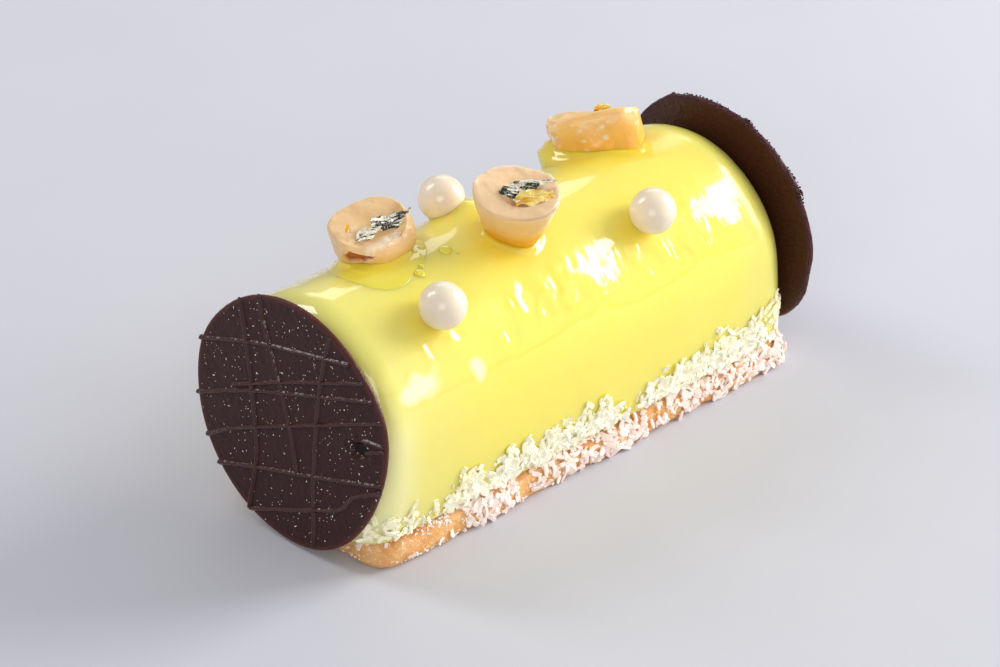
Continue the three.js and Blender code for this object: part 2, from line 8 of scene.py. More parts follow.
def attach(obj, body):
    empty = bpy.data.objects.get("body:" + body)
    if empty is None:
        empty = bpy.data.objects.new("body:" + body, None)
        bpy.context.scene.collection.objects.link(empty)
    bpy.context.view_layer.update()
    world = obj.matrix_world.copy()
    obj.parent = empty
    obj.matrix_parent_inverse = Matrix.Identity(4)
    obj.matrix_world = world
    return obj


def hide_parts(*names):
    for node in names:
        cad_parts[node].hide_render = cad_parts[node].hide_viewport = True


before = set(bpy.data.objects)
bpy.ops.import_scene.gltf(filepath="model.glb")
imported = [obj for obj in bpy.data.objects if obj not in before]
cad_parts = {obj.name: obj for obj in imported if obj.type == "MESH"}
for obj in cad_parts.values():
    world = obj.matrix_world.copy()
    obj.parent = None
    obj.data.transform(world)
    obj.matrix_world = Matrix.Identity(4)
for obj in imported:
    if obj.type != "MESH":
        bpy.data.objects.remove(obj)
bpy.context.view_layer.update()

# Sizes are millimetres in the log's own frame, as in the part's source: X along the log from the
# middle of the near disc's drizzled face, -Y the front, Z up from the underside of the base.
MM = 0.001
NEAR_MIDDLE = np.array([-52.3924, 0.6473, 0.0])
GAP = 0.3
MAIN_SEED = 7

# Camera of the photograph: place, bearing and fall in degrees, lens for a 36 mm sensor.
CAMERA_PLACE = np.array([-304.21, -368.14, 326.75])
CAMERA_BEARING = 43.78
CAMERA_FALL = 30.99
CAMERA_ROLL = 0.11
CAMERA_LENS = 122.4

# Lights: name, bearing and rise in degrees, distance, width and height in metres, power and tint.
LIGHTS = [
    ("key_right", 67, 21, 0.9, 0.48, 0.62, 9.4, (1, 1, 1)),
    ("back_right", 137, 33, 1.3, 0.75, 0.30, 1.2, (1, 1, 1)),
    ("back_left", -151, 42, 1.0, 0.28, 0.5, 2.6, (1, 1, 1)),
    ("front_left", -50, 24, 1.4, 0.8, 0.6, 4.6, (1, 1, 1)),
    ("low_front", 15, 20, 1.5, 1.6, 1.0, 3.4, (1.0, 0.93, 0.84)),
]

# Log.
LOG_HALF_WIDTH = 20.6
LOG_WIDEST = 23.0
LOG_TOP = 44.4
LOG_FOOT = 6.15
LOG_FOOT_HALF_WIDTH = 18.8
LOG_EDGE_NEAR = 5.5
LOG_EDGE_FAR = 8.5
# Mounds of glaze on the top: x, y, height and spread.
MOUNDS = [
    (78.0, 6.0, 0.9, 5.0), (45.5, 5.0, 0.8, 6.0), (47.0, -6.5, 0.5, 7.0),
    (50.5, 7.5, 1.0, 3.4), (44.6, 4.4, 1.7, 2.5),
]
# Bead of glaze at the foot of the third nut: place, half sizes and turn.
BEAD_PLACE = (75.9, 7.8, 42.7)
BEAD_SIZE = (6.6, 5.2, 2.9)
BEAD_TURN = -42

# Base.
BASE_START = 2.2
BASE_END = 104.8
BASE_SKEW = 0.07
BASE_HALF_WIDTH = 19.2
BASE_HEIGHT = 5.85
BASE_CORNER = 5.0
BASE_UNEVEN = 0.3
# Side of the base from its underside up: how far in it lies, and height.
BASE_PROFILE = [(1.0, 0), (0.25, 0.7), (0, 2.4), (0.3, 4.2), (1.1, 5.4), (2.4, BASE_HEIGHT)]

# Discs.
NEAR_DISC = {"centre": (0, 0, 23.25), "radius": 22.4, "thickness": 0.9, "yaw": 3.1, "tilt": 3.7}
FAR_DISC = {"centre": (103.9, -1.1, 25.2), "radius": 23.0, "thickness": 1.1, "yaw": 0.6, "tilt": -7.1}
# Bumps and dents of the rims: angle, height and spread.
NEAR_RIM = [(158, 1.1, 14), (205, -0.6, 18), (253, 0.5, 16), (20, 0.4, 12)]
FAR_RIM = [(110, 0.45, 3), (144, 0.6, 4), (195, -0.6, 8), (128, 0.3, 9), (62, 0.3, 4), (165, -0.5, 20)]
EDGE_ROUND = 0.25
# Half the width of a thread of the drizzle, and the threads on each disc as y and z.
LINE = 0.42
NEAR_LINES = [
    [(12.2, 18.9), (11.0, 13.9), (9.1, 3.8), (7.7, -6.0), (7.7, -11.4), (9.3, -20.6)],
    [(7.6, 21.3), (6.4, 16.5), (2.6, 7.2), (-0.2, -0.5), (-2.2, -8.9)],
    [(-9.0, 19.9), (-7.3, 10.6), (-6.5, 1.9), (-6.2, -8.9), (-6.5, -21.6)],
    [(22.0, 7.4), (11.2, 11.0), (4.1, 12.9), (-7.2, 15.2), (-13.9, 16.6)],
    [(13.8, 1.7), (-0.4, 7.9), (-17.2, 14.5)],
    [(22.6, -3.4), (8.8, 2.5), (-7.0, 7.9), (-19.4, 12.0)],
    [(19.9, -10.6), (13.7, -6.9), (-0.6, -0.3), (-21.6, 9.0)],
    [(17.1, -14.9), (8.1, -11.9), (-6.1, -7.7), (-22.2, -2.7)],
    [(9.3, -20.6), (0.8, -17.2), (-6.3, -14.1), (-12.4, -11.3), (-15.7, -7.5), (-22.0, -3.8)],
    [(-17.9, 1.9), (-22.3, 4.0)],
    [(-16.9, 3.9), (-19.4, 4.3), (-22.2, 4.6)],
]
FAR_LINES = [
    [(-7.9, 22.1), (-6.8, 12.0), (-4.6, 2.0), (-3.9, -9.0), (-5.0, -22.0)],
    [(10.6, 20.9), (9.0, 11.0), (6.2, 1.5), (5.0, -8.0), (4.6, -18.0)],
    [(-18.7, 13.9), (-6.0, 11.4), (8.0, 14.0), (17.4, 14.6)],
    [(-21.2, 4.1), (-9.0, 5.2), (6.0, 3.4), (21.6, 4.9)],
    [(-20.9, -5.0), (-8.0, -3.2), (7.0, -6.0), (20.8, -5.4)],
    [(-18.6, -12.6), (-4.0, -12.0), (10.0, -13.6), (17.6, -13.6)],
]
# Section of a thread of the drizzle, in shares of LINE: how far it stands out, and half its width.
RIDGE = np.array([
    (1.02, 0), (0.97, 0.22), (0.80, 0.44), (0.55, 0.68), (0.28, 0.92), (0.05, 1.15), (-0.25, 1.2),
    (-0.3, 0.6), (-0.3, -0.6), (-0.25, -1.2), (0.05, -1.15), (0.28, -0.92), (0.55, -0.68),
    (0.80, -0.44), (0.97, -0.22),
])
# Pit in the near disc's face, painted near black as shade in a hollow: place, half sizes and depth.
PIT = {"y": -16.4, "z": 1.9, "long": 2.6, "high": 1.6, "deep": 0.75}

# Nuts: sizes, places and turns as in the part's source. The rim begins at the share lip of the
# height and is rounded by the share blunt, on one side by those of round. swell says how soon the
# side widens, lumps how uneven it is, and dish where on the skin the hollow of the top sets in.
NUTS = {
    "nut_1": {
        "length": 15.2, "width": 12.6, "height": 8.4, "base": 0.72, "square": 2.4,
        "wave": 0.5, "phase": 0.5, "place": (25.35, 7.65, 41.6), "turn": (16, -4, -12),
        "lip": 0.93, "blunt": 0.04, "swell": (0.40, 0.78), "lumps": 0.34, "dish": (0.40, 0.62),
        "round": {"bearing": -45, "lip": 0.76, "blunt": 0.16},
    },
    "nut_2": {
        "length": 14.1, "width": 12.8, "height": 11.6, "base": 0.54, "square": 2.2,
        "wave": 0.4, "phase": 2.2, "place": (46.5, -5.4, 42.5), "turn": (17, 2, -40),
        "lip": 0.96, "blunt": 0.035, "swell": (0.38, 0.72), "lumps": 0.22, "dish": (0.45, 0.7),
    },
    "nut_3": {
        "length": 17.2, "width": 9.6, "height": 9.4, "base": 0.9, "square": 3.2,
        "wave": 0.35, "phase": 3.6, "place": (78.2, 5.2, 41.0), "turn": (-22, -10, -42),
        "lip": 0.92, "blunt": 0.06, "swell": (0.42, 0.82), "lumps": 0.45, "dish": (0.45, 0.7),
    },
}
PEARL_RADIUS = 4.1
LEAF_THICKNESS = 0.06
PEARLS = {"pearl_1": (21.9, -14.3, 43.1), "pearl_2": (70.7, -15.0, 42.6), "pearl_3": (42.9, 8.7, 46.2)}
# Metal leaves: sizes, draws, places and turns on their nuts as in the part's source. edges are
# share of the length, upper and lower edge. One end can be darkened, a painted reflection of dark
# surroundings, and crumple deepens the folds.
LEAVES = {
    "silver_leaf_1": {
        "metal": "silver", "nut": "nut_1", "at": (0.9, -1.9, 9.35), "turn": (18, -4, 8),
        "length": 11.6, "width": 3.2, "wave": 0.7, "seed": 3, "across": 5, "along": 8, "painted_dark_end": -0.9,
        "edges": [
            (0, 0.1, -0.5), (0.1, 1.0, -0.9), (0.2, 1.3, -1.1), (0.3, 0.5, -0.8), (0.37, 1.8, -0.4),
            (0.5, 2.0, -1.2), (0.65, 1.1, -1.8), (0.8, 0.7, -0.7), (1, 0.1, 0),
        ],
    },
    "gold_leaf_1": {
        "metal": "gold", "nut": "nut_1", "at": (-5.0, 0.2, 9.3), "turn": (10, 0, 60),
        "length": 1.8, "width": 1.2, "wave": 0.2, "seed": 5, "across": 3, "along": 4,
    },
    "silver_leaf_2": {
        "metal": "silver", "nut": "nut_2", "at": (1.9, 0.1, 12.3), "turn": (16, -6, 8),
        "length": 10.2, "width": 2.8, "wave": 0.5, "seed": 7, "across": 5, "along": 8, "painted_dark_end": 1.2,
        "edges": [
            (0, 0.1, -0.2), (0.1, 1.2, -0.9), (0.25, 1.5, -2.6), (0.4, 1.5, -1.7), (0.6, 1.2, -0.5),
            (0.8, 0.95, 0.1), (1, 0.55, 0.35),
        ],
    },
    "gold_leaf_2": {
        "metal": "gold", "nut": "nut_2", "at": (2.8, -1.9, 12.1), "turn": (24, -4, 12),
        "length": 6.8, "width": 3.0, "wave": 0.4, "seed": 9, "across": 4, "along": 6,
    },
    "gold_leaf_3": {
        "metal": "gold", "nut": "nut_3", "at": (1.9, 0.9, 9.6), "turn": (60, 0, 20),
        "length": 3.0, "width": 2.4, "wave": 0.5, "seed": 11, "across": 4, "along": 4, "crumple": 3.2,
    },
}

# Syrup in front of the first nut: middle, and radius at angles from +X.
POOL_MIDDLE = (23.0, 2.5)
POOL_EDGE = [
    (-160, 8.6), (-135, 9.3), (-112, 8.9), (-88, 7.4), (-60, 6.7),
    (-20, 8.6), (20, 10.5), (90, 9.5), (160, 8.5),
]
POOL_DEPTH = 0.24
# Places on the front shoulder where the glaze set in small facets: x, z, length, height, tilt
# towards +X, depth of the folds on it, and width of these folds.
FACETS = [
    (57.6, 35.6, 8.0, 3.8, 0.12, 0.045, 1.3), (49.6, 34.2, 2.2, 2.4, 0.16, 0.015, 1.2),
    (66.4, 36.0, 1.6, 1.6, 0.14, 0.020, 1.2), (87.6, 36.0, 7.0, 3.8, 0.11, 0.040, 1.1),
    (81.5, 33.8, 3.0, 2.2, 0.14, 0.040, 0.8), (78.2, 33.6, 1.6, 1.6, 0.14, 0.050, 0.8),
    (68.6, 33.0, 1.8, 1.2, 0.16, 0.010, 1.0), (73.2, 34.6, 2.6, 2.2, 0.10, 0.060, 0.9),
    (39.2, 37.0, 1.8, 2.2, 0.18, 0.0, 1.0), (36.6, 37.4, 0.7, 0.9, 0.20, 0.0, 1.0),
    (42.4, 34.2, 1.2, 1.5, 0.18, 0.010, 1.0), (33.4, 33.8, 1.5, 2.6, 0.20, 0.010, 1.0),
    (45.6, 36.4, 1.3, 2.0, 0.16, 0.020, 1.0), (17.2, 36.4, 0.8, 1.4, 0.23, 0.0, 1.0),
    (23.4, 36.6, 1.6, 0.7, 0.21, 0.0, 1.0), (9.9, 33.9, 1.6, 1.2, 0.17, 0.0, 1.0),
    (75.8, 32.6, 1.0, 0.7, 0.15, 0.020, 1.0), (94.8, 32.4, 0.8, 1.6, 0.14, 0.010, 1.0),
]
# Height of the coconut on the log's side: x, z.
BAND_TOP = [
    (3, 13.5), (7.5, 13.0), (10.5, 9.8), (15, 10.0), (20, 13.0), (31, 13.2), (43, 13.4),
    (55, 12.6), (60, 11.6), (68, 12.8), (79, 13.4), (89, 15.2), (98, 17.6),
]
# Painted reflections in the glaze of the front: soft pale patches where a soft light is mirrored, as x, z,
# length, height.
PAINTED_REFLECTIONS = [(13.0, 32.6, 5.2, 2.3), (25.5, 31.5, 1.9, 1.6)]
# Sides of a sliver of coconut.
SHRED_SIDES = 6
# Kinds of flakes: how many, length, width, thickness, how far they turn out of the surface, and
# half of how far off it they may lie.
LOG_FLAKES = [
    (1600, (1.2, 2.7), (0.7, 1.4), (0.25, 0.5), 0.38, 0.2),
    (1100, (0.5, 1.1), (0.35, 0.8), (0.2, 0.4), 0.4, 0.1),
]
BASE_FLAKES = [
    (1350, (1.2, 2.6), (0.7, 1.4), (0.25, 0.5), 0.42, 0.2),
    (800, (0.5, 1.1), (0.35, 0.8), (0.2, 0.4), 0.4, 0.1),
]
SUGAR_GRAINS = 700
# Specks on the near disc's face: draws before thinning, how far out they lie, share of large ones.
SPECKS = 1100
SPECKS_REACH = 21.6
LARGE_SPECKS = 0.18
# Crumbs on the far disc's rim: how many along it, on its large nub and on its small one.
CRUMBS = (260, 80, 20)
# Bubbles in the syrup: x, y, radius.
BUBBLES = [
    (25.4, -4.9, 0.95), (26.9, -3.6, 0.5), (33.2, -2.7, 1.15), (34.4, -4.5, 0.3),
    (30.6, 0.4, 0.7), (29.0, -1.2, 0.35), (28.7, 0.1, 0.6), (23.4, 1.0, 0.5),
    (24.3, 0.6, 0.4), (20.6, 4.0, 0.45),
]


# Numbers

def smoothstep(value, low, high):
    t = np.clip((value - low) / (high - low), 0, 1)
    return t * t * (3 - 2 * t)


def noise(points, size, seed=0):
    """Smooth noise between -1 and 1 whose lumps are size across."""
    p = np.asarray(points, float) / size + 500.0
    cell = np.floor(p).astype(np.int64)
    f = p - cell
    f = f * f * f * (f * (f * 6 - 15) + 10)
    total = np.zeros(p.shape[:-1])
    for corner in np.ndindex(2, 2, 2):
        c = cell + np.array(corner)
        h = c[..., 0] * 73856093 ^ c[..., 1] * 19349663 ^ c[..., 2] * 83492791
        h = (h ^ seed * 26544357) & 0xFFFFFFFF
        h = ((h ^ (h >> 15)) * 0x2C1B3C6D) & 0xFFFFFFFF
        h = ((h ^ (h >> 12)) * 0x297A2D39) & 0xFFFFFFFF
        h = h ^ (h >> 15)
        weight = np.prod(np.where(np.array(corner) == 1, f, 1 - f), axis=-1)
        total += weight * ((h & 0xFFFF) / 32767.5 - 1)
    return total


def shaken(points, amount, size, seed):
    """Points moved about by up to amount, in lumps that are size across."""
    return points + amount * np.stack([noise(points, size, seed + i) for i in range(3)], -1)


def turn_matrix(degrees):
    """Rotation by angles about X, then Y, then Z."""
    x, y, z = (math.radians(d) for d in degrees)
    about = [Matrix.Rotation(z, 3, "Z"), Matrix.Rotation(y, 3, "Y"), Matrix.Rotation(x, 3, "X")]
    return np.array(about[0] @ about[1] @ about[2])


def draws(seed):
    """The seeded draws of the part's source."""
    state = seed
    while True:
        state = (state * 1664525 + 1013904223) % 4294967296
        yield state / 4294967296


def smooth_line(points, count):
    """Catmull-Rom line through the points, as count points."""
    p = np.asarray(points, float)
    p = np.vstack([2 * p[0] - p[1], p, 2 * p[-1] - p[-2]])
    t = np.linspace(0, len(p) - 3, count)
    i = np.minimum(t.astype(int), len(p) - 4)
    u = (t - i)[:, None]
    a, b, c, d = p[i], p[i + 1], p[i + 2], p[i + 3]
    square = (2 * a - 5 * b + 4 * c - d) * u ** 2
    cube = (3 * b - a - 3 * c + d) * u ** 3
    return 0.5 * (2 * b + (c - a) * u + square + cube)


def grid_faces(rows, columns, closed):
    """Quads of a grid of points, row by row. A closed grid joins its last column to its first."""
    r = np.arange(rows - 1)[:, None]
    c = np.arange(columns if closed else columns - 1)[None, :]
    a = r * columns + c
    b = r * columns + (c + 1) % columns
    return np.stack([a, b, b + columns, a + columns], -1).reshape(-1, 4)


def grid_normals(points, closed):
    """Unit normals of a grid of points of shape rows, columns, 3."""
    along = np.gradient(points, axis=0)
    if closed:
        across = np.roll(points, -1, 1) - np.roll(points, 1, 1)
    else:
        across = np.gradient(points, axis=1)
    n = np.cross(along, across)
    return n / np.maximum(np.linalg.norm(n, axis=-1, keepdims=True), 1e-9)


# Pieces

def new_piece(name, points, faces, material, values=None, smooth=True):
    """A mesh object from points in the log's frame, with one number a point for each of values."""
    mesh = bpy.data.meshes.new(name)
    placed = (np.asarray(points, float).reshape(-1, 3) + NEAR_MIDDLE) * MM
    mesh.from_pydata(placed.tolist(), [], [list(face) for face in faces])
    for key, value in (values or {}).items():
        layer = mesh.attributes.new(key, "FLOAT", "POINT")
        layer.data.foreach_set("value", np.asarray(value, np.float32).ravel())
    mesh.polygons.foreach_set("use_smooth", [smooth] * len(mesh.polygons))
    mesh.materials.append(material)
    piece = bpy.data.objects.new(name, mesh)
    bpy.context.scene.collection.objects.link(piece)
    return piece


def dress(piece, stands_for=()):
    """Makes a piece part of the cake."""
    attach(piece, "root")
    if stands_for:
        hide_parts(*stands_for)


def closed_skin(rings):
    """Points and faces of a skin through rings, with each end closed to the middle of its ring."""
    rows, columns = rings.shape[:2]
    ends = np.stack([rings[0].mean(0), rings[-1].mean(0)])
    points = np.vstack([rings.reshape(-1, 3), ends])
    faces = grid_faces(rows, columns, True).tolist()
    first, last = rows * columns, rows * columns + 1
    start = (rows - 1) * columns
    for j in range(columns):
        k = (j + 1) % columns
        faces.append([first, k, j])
        faces.append([last, start + j, start + k])
    return points, faces


def join_skins(skins):
    """Points and faces of several closed skins as those of one piece."""
    points, faces, start = [], [], 0
    for skin_points, skin_faces in skins:
        points.append(skin_points)
        faces += [[start + i for i in face] for face in skin_faces]
        start += len(skin_points)
    return np.vstack(points), faces


# Materials

def new_material(name):
    material = bpy.data.materials.new(name)
    material.use_nodes = True
    return material, material.node_tree, material.node_tree.nodes["Principled BSDF"]


def node(tree, kind, inputs=None, **settings):
    """A node with its inputs set to values or linked to sockets."""
    made = tree.nodes.new(kind)
    for key, value in settings.items():
        setattr(made, key, value)
    for key, value in (inputs or {}).items():
        if isinstance(value, bpy.types.NodeSocket):
            tree.links.new(value, made.inputs[key])
        else:
            made.inputs[key].default_value = value
    return made


def value_of(tree, key):
    return node(tree, "ShaderNodeAttribute", attribute_name=key).outputs["Fac"]


def lumps(tree, size, detail=2.0, stretch=(1, 1, 1)):
    """Noise from 0 to 1 whose lumps are size millimetres across."""
    place = node(tree, "ShaderNodeTexCoord").outputs["Object"]
    scaled = node(tree, "ShaderNodeMapping", {"Vector": place, "Scale": stretch}).outputs["Vector"]
    inputs = {"Vector": scaled, "Scale": 1 / (size * MM), "Detail": detail}
    return node(tree, "ShaderNodeTexNoise", inputs).outputs["Fac"]


def between(tree, value, low, high, to_low=0.0, to_high=1.0):
    inputs = {"Value": value, "From Min": low, "From Max": high, "To Min": to_low, "To Max": to_high}
    return node(tree, "ShaderNodeMapRange", inputs).outputs["Result"]


def reckoned(tree, operation, a, b, clamp=False):
    """The result of a sum of two values, kept between 0 and 1 where clamp is set."""
    inputs = {0: a, 1: b}
    return node(tree, "ShaderNodeMath", inputs, operation=operation, use_clamp=clamp).outputs[0]


def mixed(tree, share, a, b):
    made = node(tree, "ShaderNodeMix", {0: share, 6: a, 7: b}, data_type="RGBA")
    return made.outputs[2]


def colour(r, g, b):
    return (r, g, b, 1.0)


def shade_of(base, r, g, b):
    """A colour with its red, green and blue multiplied."""
    return (base[0] * r, base[1] * g, base[2] * b, 1.0)


def bumped(tree, shader, height, depth, strength=1.0, under=None):
    """Bump of a given depth in millimetres on a shader."""
    inputs = {"Height": height, "Distance": depth * MM, "Strength": strength}
    if under is not None:
        inputs["Normal"] = under
    made = node(tree, "ShaderNodeBump", inputs).outputs["Normal"]
    tree.links.new(made, shader.inputs["Normal"])
    return made


def set_all(shader, **values):
    for key, value in values.items():
        shader.inputs[key.replace("_", " ")].default_value = value


def set_subsurface(shader, weight, scale, radius=None):
    """Light that passes under the surface, with its scale in millimetres."""
    set_all(shader, Subsurface_Weight=weight, Subsurface_Scale=scale * MM)
    if radius:
        shader.inputs["Subsurface Radius"].default_value = radius


def tinted_material(name, size, detail, a, b, **values):
    """A material whose colour runs between a and b in lumps of a size."""
    material, tree, shader = new_material(name)
    tint = mixed(tree, lumps(tree, size, detail), a, b)
    tree.links.new(tint, shader.inputs["Base Color"])
    set_all(shader, **values)
    return material, tree, shader


def glaze_material():
    material, tree, shader = new_material("glaze")
    bright = mixed(tree, lumps(tree, 14), colour(0.93, 0.785, 0.095), colour(0.94, 0.81, 0.12))
    # Paler where painted shade and light lie: by the far disc, towards the top and at the near end.
    painted_pale = mixed(tree, value_of(tree, "pale"), bright, colour(0.82, 0.77, 0.21))
    # Painted reflections and a painted light strip, lightening the glaze.
    with_painted_light = mixed(tree, value_of(tree, "painted_light"), painted_pale, colour(0.97, 0.95, 0.60))
    # Deeper amber round the nuts, and painted shadow beside the pearls.
    deeper = mixed(tree, value_of(tree, "deep"), with_painted_light, colour(0.86, 0.62, 0.018))
    tree.links.new(deeper, shader.inputs["Base Color"])
    set_all(shader, Roughness=0.22, IOR=1.4, Coat_IOR=1.55)
    dull = value_of(tree, "dull")
    tree.links.new(between(tree, dull, 0, 1, 1.0, 0.15), shader.inputs["Coat Weight"])
    tree.links.new(between(tree, dull, 0, 1, 0.012, 0.30), shader.inputs["Coat Roughness"])
    set_subsurface(shader, 0.6, 4.0, (1.0, 0.85, 0.15))
    drawn_out = lumps(tree, 0.9, 2.0, (1, 0.3, 0.3))
    folds = reckoned(tree, "MULTIPLY", drawn_out, value_of(tree, "fold"))
    ripple = bumped(tree, shader, folds, 0.09)
    tree.links.new(ripple, shader.inputs["Coat Normal"])
    return material


def syrup_material():
    tints = colour(0.84, 0.66, 0.045), colour(0.88, 0.74, 0.07)
    material, _, shader = tinted_material("syrup", 5, 2, *tints, Roughness=0.1, IOR=1.42)
    set_all(shader, Coat_Weight=1.0, Coat_Roughness=0.02)
    set_subsurface(shader, 0.4, 1.5, (1.0, 0.7, 0.1))
    return material


def chocolate_material(name, face, edge, rough=(0.24, 0.40), shine=0.24):
    material, tree, shader = new_material(name)
    mottled = mixed(tree, lumps(tree, 3, 4), face, shade_of(face, 1.35, 1.3, 1.3))
    edged = mixed(tree, value_of(tree, "rim"), mottled, edge)
    # Painted shade: the pit is near black, as shade deep in a hollow.
    tint = mixed(tree, value_of(tree, "pit"), edged, colour(0.010, 0.004, 0.003))
    tree.links.new(tint, shader.inputs["Base Color"])
    uneven = between(tree, lumps(tree, 0.8, 3), 0.3, 0.7, *rough)
    tree.links.new(uneven, shader.inputs["Roughness"])
    set_all(shader, IOR=1.45, Specular_IOR_Level=shine)
    coarse = bumped(tree, shader, lumps(tree, 1.2, 3), 0.17)
    bumped(tree, shader, lumps(tree, 0.35, 2), 0.02, 1.0, coarse)
    return material


def shortbread_material():
    material, tree, shader = new_material("shortbread")
    patches = between(tree, lumps(tree, 3.5, 5), 0.35, 0.65)
    baked = mixed(tree, patches, colour(0.74, 0.33, 0.09), colour(0.86, 0.50, 0.20))
    pale = mixed(tree, between(tree, lumps(tree, 0.45, 2), 0.58, 0.70), baked, colour(0.93, 0.70, 0.45))
    dark = mixed(tree, value_of(tree, "brown"), pale, colour(0.45, 0.15, 0.035))
    tree.links.new(dark, shader.inputs["Base Color"])
    set_all(shader, Roughness=0.75)
    set_subsurface(shader, 0.15, 1.0)
    crumb = bumped(tree, shader, lumps(tree, 0.9, 4), 0.25)
    bumped(tree, shader, lumps(tree, 0.25, 2), 0.08, 1.0, crumb)
    return material


def coconut_material(name, white, tinted):
    material, tree, shader = new_material(name)
    tone = mixed(tree, value_of(tree, "tone"), white, tinted)
    tree.links.new(tone, shader.inputs["Base Color"])
    set_all(shader, Roughness=0.6, Specular_IOR_Level=0.3)
    bumped(tree, shader, lumps(tree, 0.5, 2), 0.05)
    return material


def nut_material(name, low, high):
    material, tree, shader = new_material(name)
    veins = between(tree, lumps(tree, 2.5, 4), 0.3, 0.7)
    veined = mixed(tree, veins, low, shade_of(low, 1.05, 1.12, 1.25))
    risen = mixed(tree, value_of(tree, "high"), veined, high)
    # Painted shade: the hollow of the top darker and warmer.
    hollow = mixed(tree, value_of(tree, "hollow"), risen, shade_of(high, 0.85, 0.72, 0.62))
    spots = mixed(tree, value_of(tree, "pale"), hollow, colour(0.93, 0.78, 0.62))
    cracked = mixed(tree, value_of(tree, "crack"), spots, colour(0.42, 0.09, 0.012))
    tree.links.new(cracked, shader.inputs["Base Color"])
    set_all(shader, Roughness=0.38, Coat_Weight=0.5, Coat_Roughness=0.2)
    set_subsurface(shader, 0.4, 1.8, (1.0, 0.55, 0.25))
    coarse = bumped(tree, shader, lumps(tree, 1.6, 3), 0.12)
    bumped(tree, shader, lumps(tree, 0.4, 2), 0.03, 1.0, coarse)
    return material


def pearl_material():
    tints = colour(0.84, 0.73, 0.55), colour(0.90, 0.79, 0.63)
    material, tree, shader = tinted_material("pearl", 4, 3, *tints, Roughness=0.3)
    set_all(shader, Coat_Weight=0.7, Coat_Roughness=0.08)
    set_subsurface(shader, 0.4, 1.5)
    bumped(tree, shader, lumps(tree, 1.2, 2), 0.03)
    return material


def leaf_material(name, light, dark):
    material, tree, shader = new_material(name)
    # Painted reflection: dark patches on the leaf where it mirrors dark surroundings, broken by grain.
    grain = between(tree, lumps(tree, 0.32, 3), 0.40, 0.60, -0.35, 0.35)
    share = reckoned(tree, "ADD", value_of(tree, "painted_dark_reflection"), grain, clamp=True)
    with_painted_reflection = mixed(tree, share, light, dark)
    tree.links.new(with_painted_reflection, shader.inputs["Base Color"])
    set_all(shader, Metallic=0.25, Roughness=0.25)
    bumped(tree, shader, lumps(tree, 0.3, 3), 0.10)
    return material


def speck_material():
    tints = colour(0.97, 0.86, 0.58), colour(0.97, 0.94, 0.86)
    return tinted_material("speck", 1.5, 2, *tints, Metallic=0.3, Roughness=0.3)[0]


def sugar_material():
    tints = colour(0.93, 0.84, 0.75), colour(0.95, 0.90, 0.84)
    return tinted_material("sugar", 1.0, 2, *tints, Roughness=0.3)[0]


def floor_material():
    tints = colour(0.57, 0.57, 0.62), colour(0.61, 0.61, 0.66)
    return tinted_material("floor", 60, 3, *tints, Roughness=0.85, Specular_IOR_Level=0.2)[0]


# Log

def disc_frame(disc):
    """Rotation of a disc and its normal."""
    turn = turn_matrix((0, disc["tilt"], disc["yaw"]))
    return turn, turn @ np.array([1.0, 0, 0])


def plane_x(disc, offset, y, z):
    """X of a plane that lies offset inside a disc's face."""
    normal = disc_frame(disc)[1]
    cx, cy, cz = disc["centre"]
    return cx + (offset - normal[1] * (y - cy) - normal[2] * (z - cz)) / normal[0]


def side_half_width(z, inset=0.0):
    wide = LOG_HALF_WIDTH - inset
    foot = LOG_FOOT_HALF_WIDTH - inset
    share = (LOG_WIDEST - z) / (LOG_WIDEST - LOG_FOOT)
    return wide * np.sqrt(1 - (1 - (foot / wide) ** 2) * share ** 2)


def log_section(inset):
    """Section of the log, drawn in by inset, as y and z."""
    wide = LOG_HALF_WIDTH - inset
    rise = LOG_TOP - inset - LOG_WIDEST
    a = np.linspace(0, math.pi, 205)
    top = np.column_stack([wide * np.cos(a), LOG_WIDEST + rise * np.sin(a)])
    z = np.linspace(LOG_WIDEST, LOG_FOOT, 37)[1:]
    left = np.column_stack([-side_half_width(z, inset), z])
    edge = side_half_width(LOG_FOOT, inset)
    y = np.linspace(-edge, edge, 8)[1:-1]
    foot = np.column_stack([y, np.full_like(y, LOG_FOOT)])
    right = left[::-1] * [-1, 1]
    return np.vstack([top, left, foot, right])


def log_rings():
    """The bare log as rings of points."""
    rings = []
    quarter = np.linspace(0, math.pi / 2, 12)

    def ring(inset, place):
        section = log_section(inset)
        y, z = section[:, 0], section[:, 1]
        start = plane_x(NEAR_DISC, NEAR_DISC["thickness"] + GAP, y, z)
        end = plane_x(FAR_DISC, -FAR_DISC["thickness"] - GAP, y, z)
        rings.append(np.column_stack([place(start, end), y, z]))

    for q in quarter:
        set_in = LOG_EDGE_NEAR * (1 - math.cos(q))
        ring(LOG_EDGE_NEAR * (1 - math.sin(q)), lambda start, end: start + set_in)
    for share in np.linspace(0, 1, 300)[1:-1]:
        ring(0, lambda start, end: (start + LOG_EDGE_NEAR) * (1 - share) + (end - LOG_EDGE_FAR) * share)
    for q in quarter[::-1]:
        set_in = LOG_EDGE_FAR * (1 - math.cos(q))
        ring(LOG_EDGE_FAR * (1 - math.sin(q)), lambda start, end: end - set_in)
    return np.stack(rings)


def bead_rise(points):
    """How far the bead stands over points of the log's top, below zero outside it."""
    local = (points - BEAD_PLACE) @ turn_matrix((0, 0, BEAD_TURN))
    spread = (local[..., 0] / BEAD_SIZE[0]) ** 2 + (local[..., 1] / BEAD_SIZE[1]) ** 2
    dome = BEAD_SIZE[2] * np.clip(1 - spread, 0, 1) ** 1.1
    return np.where(spread < 1, dome - local[..., 2], -1.0)


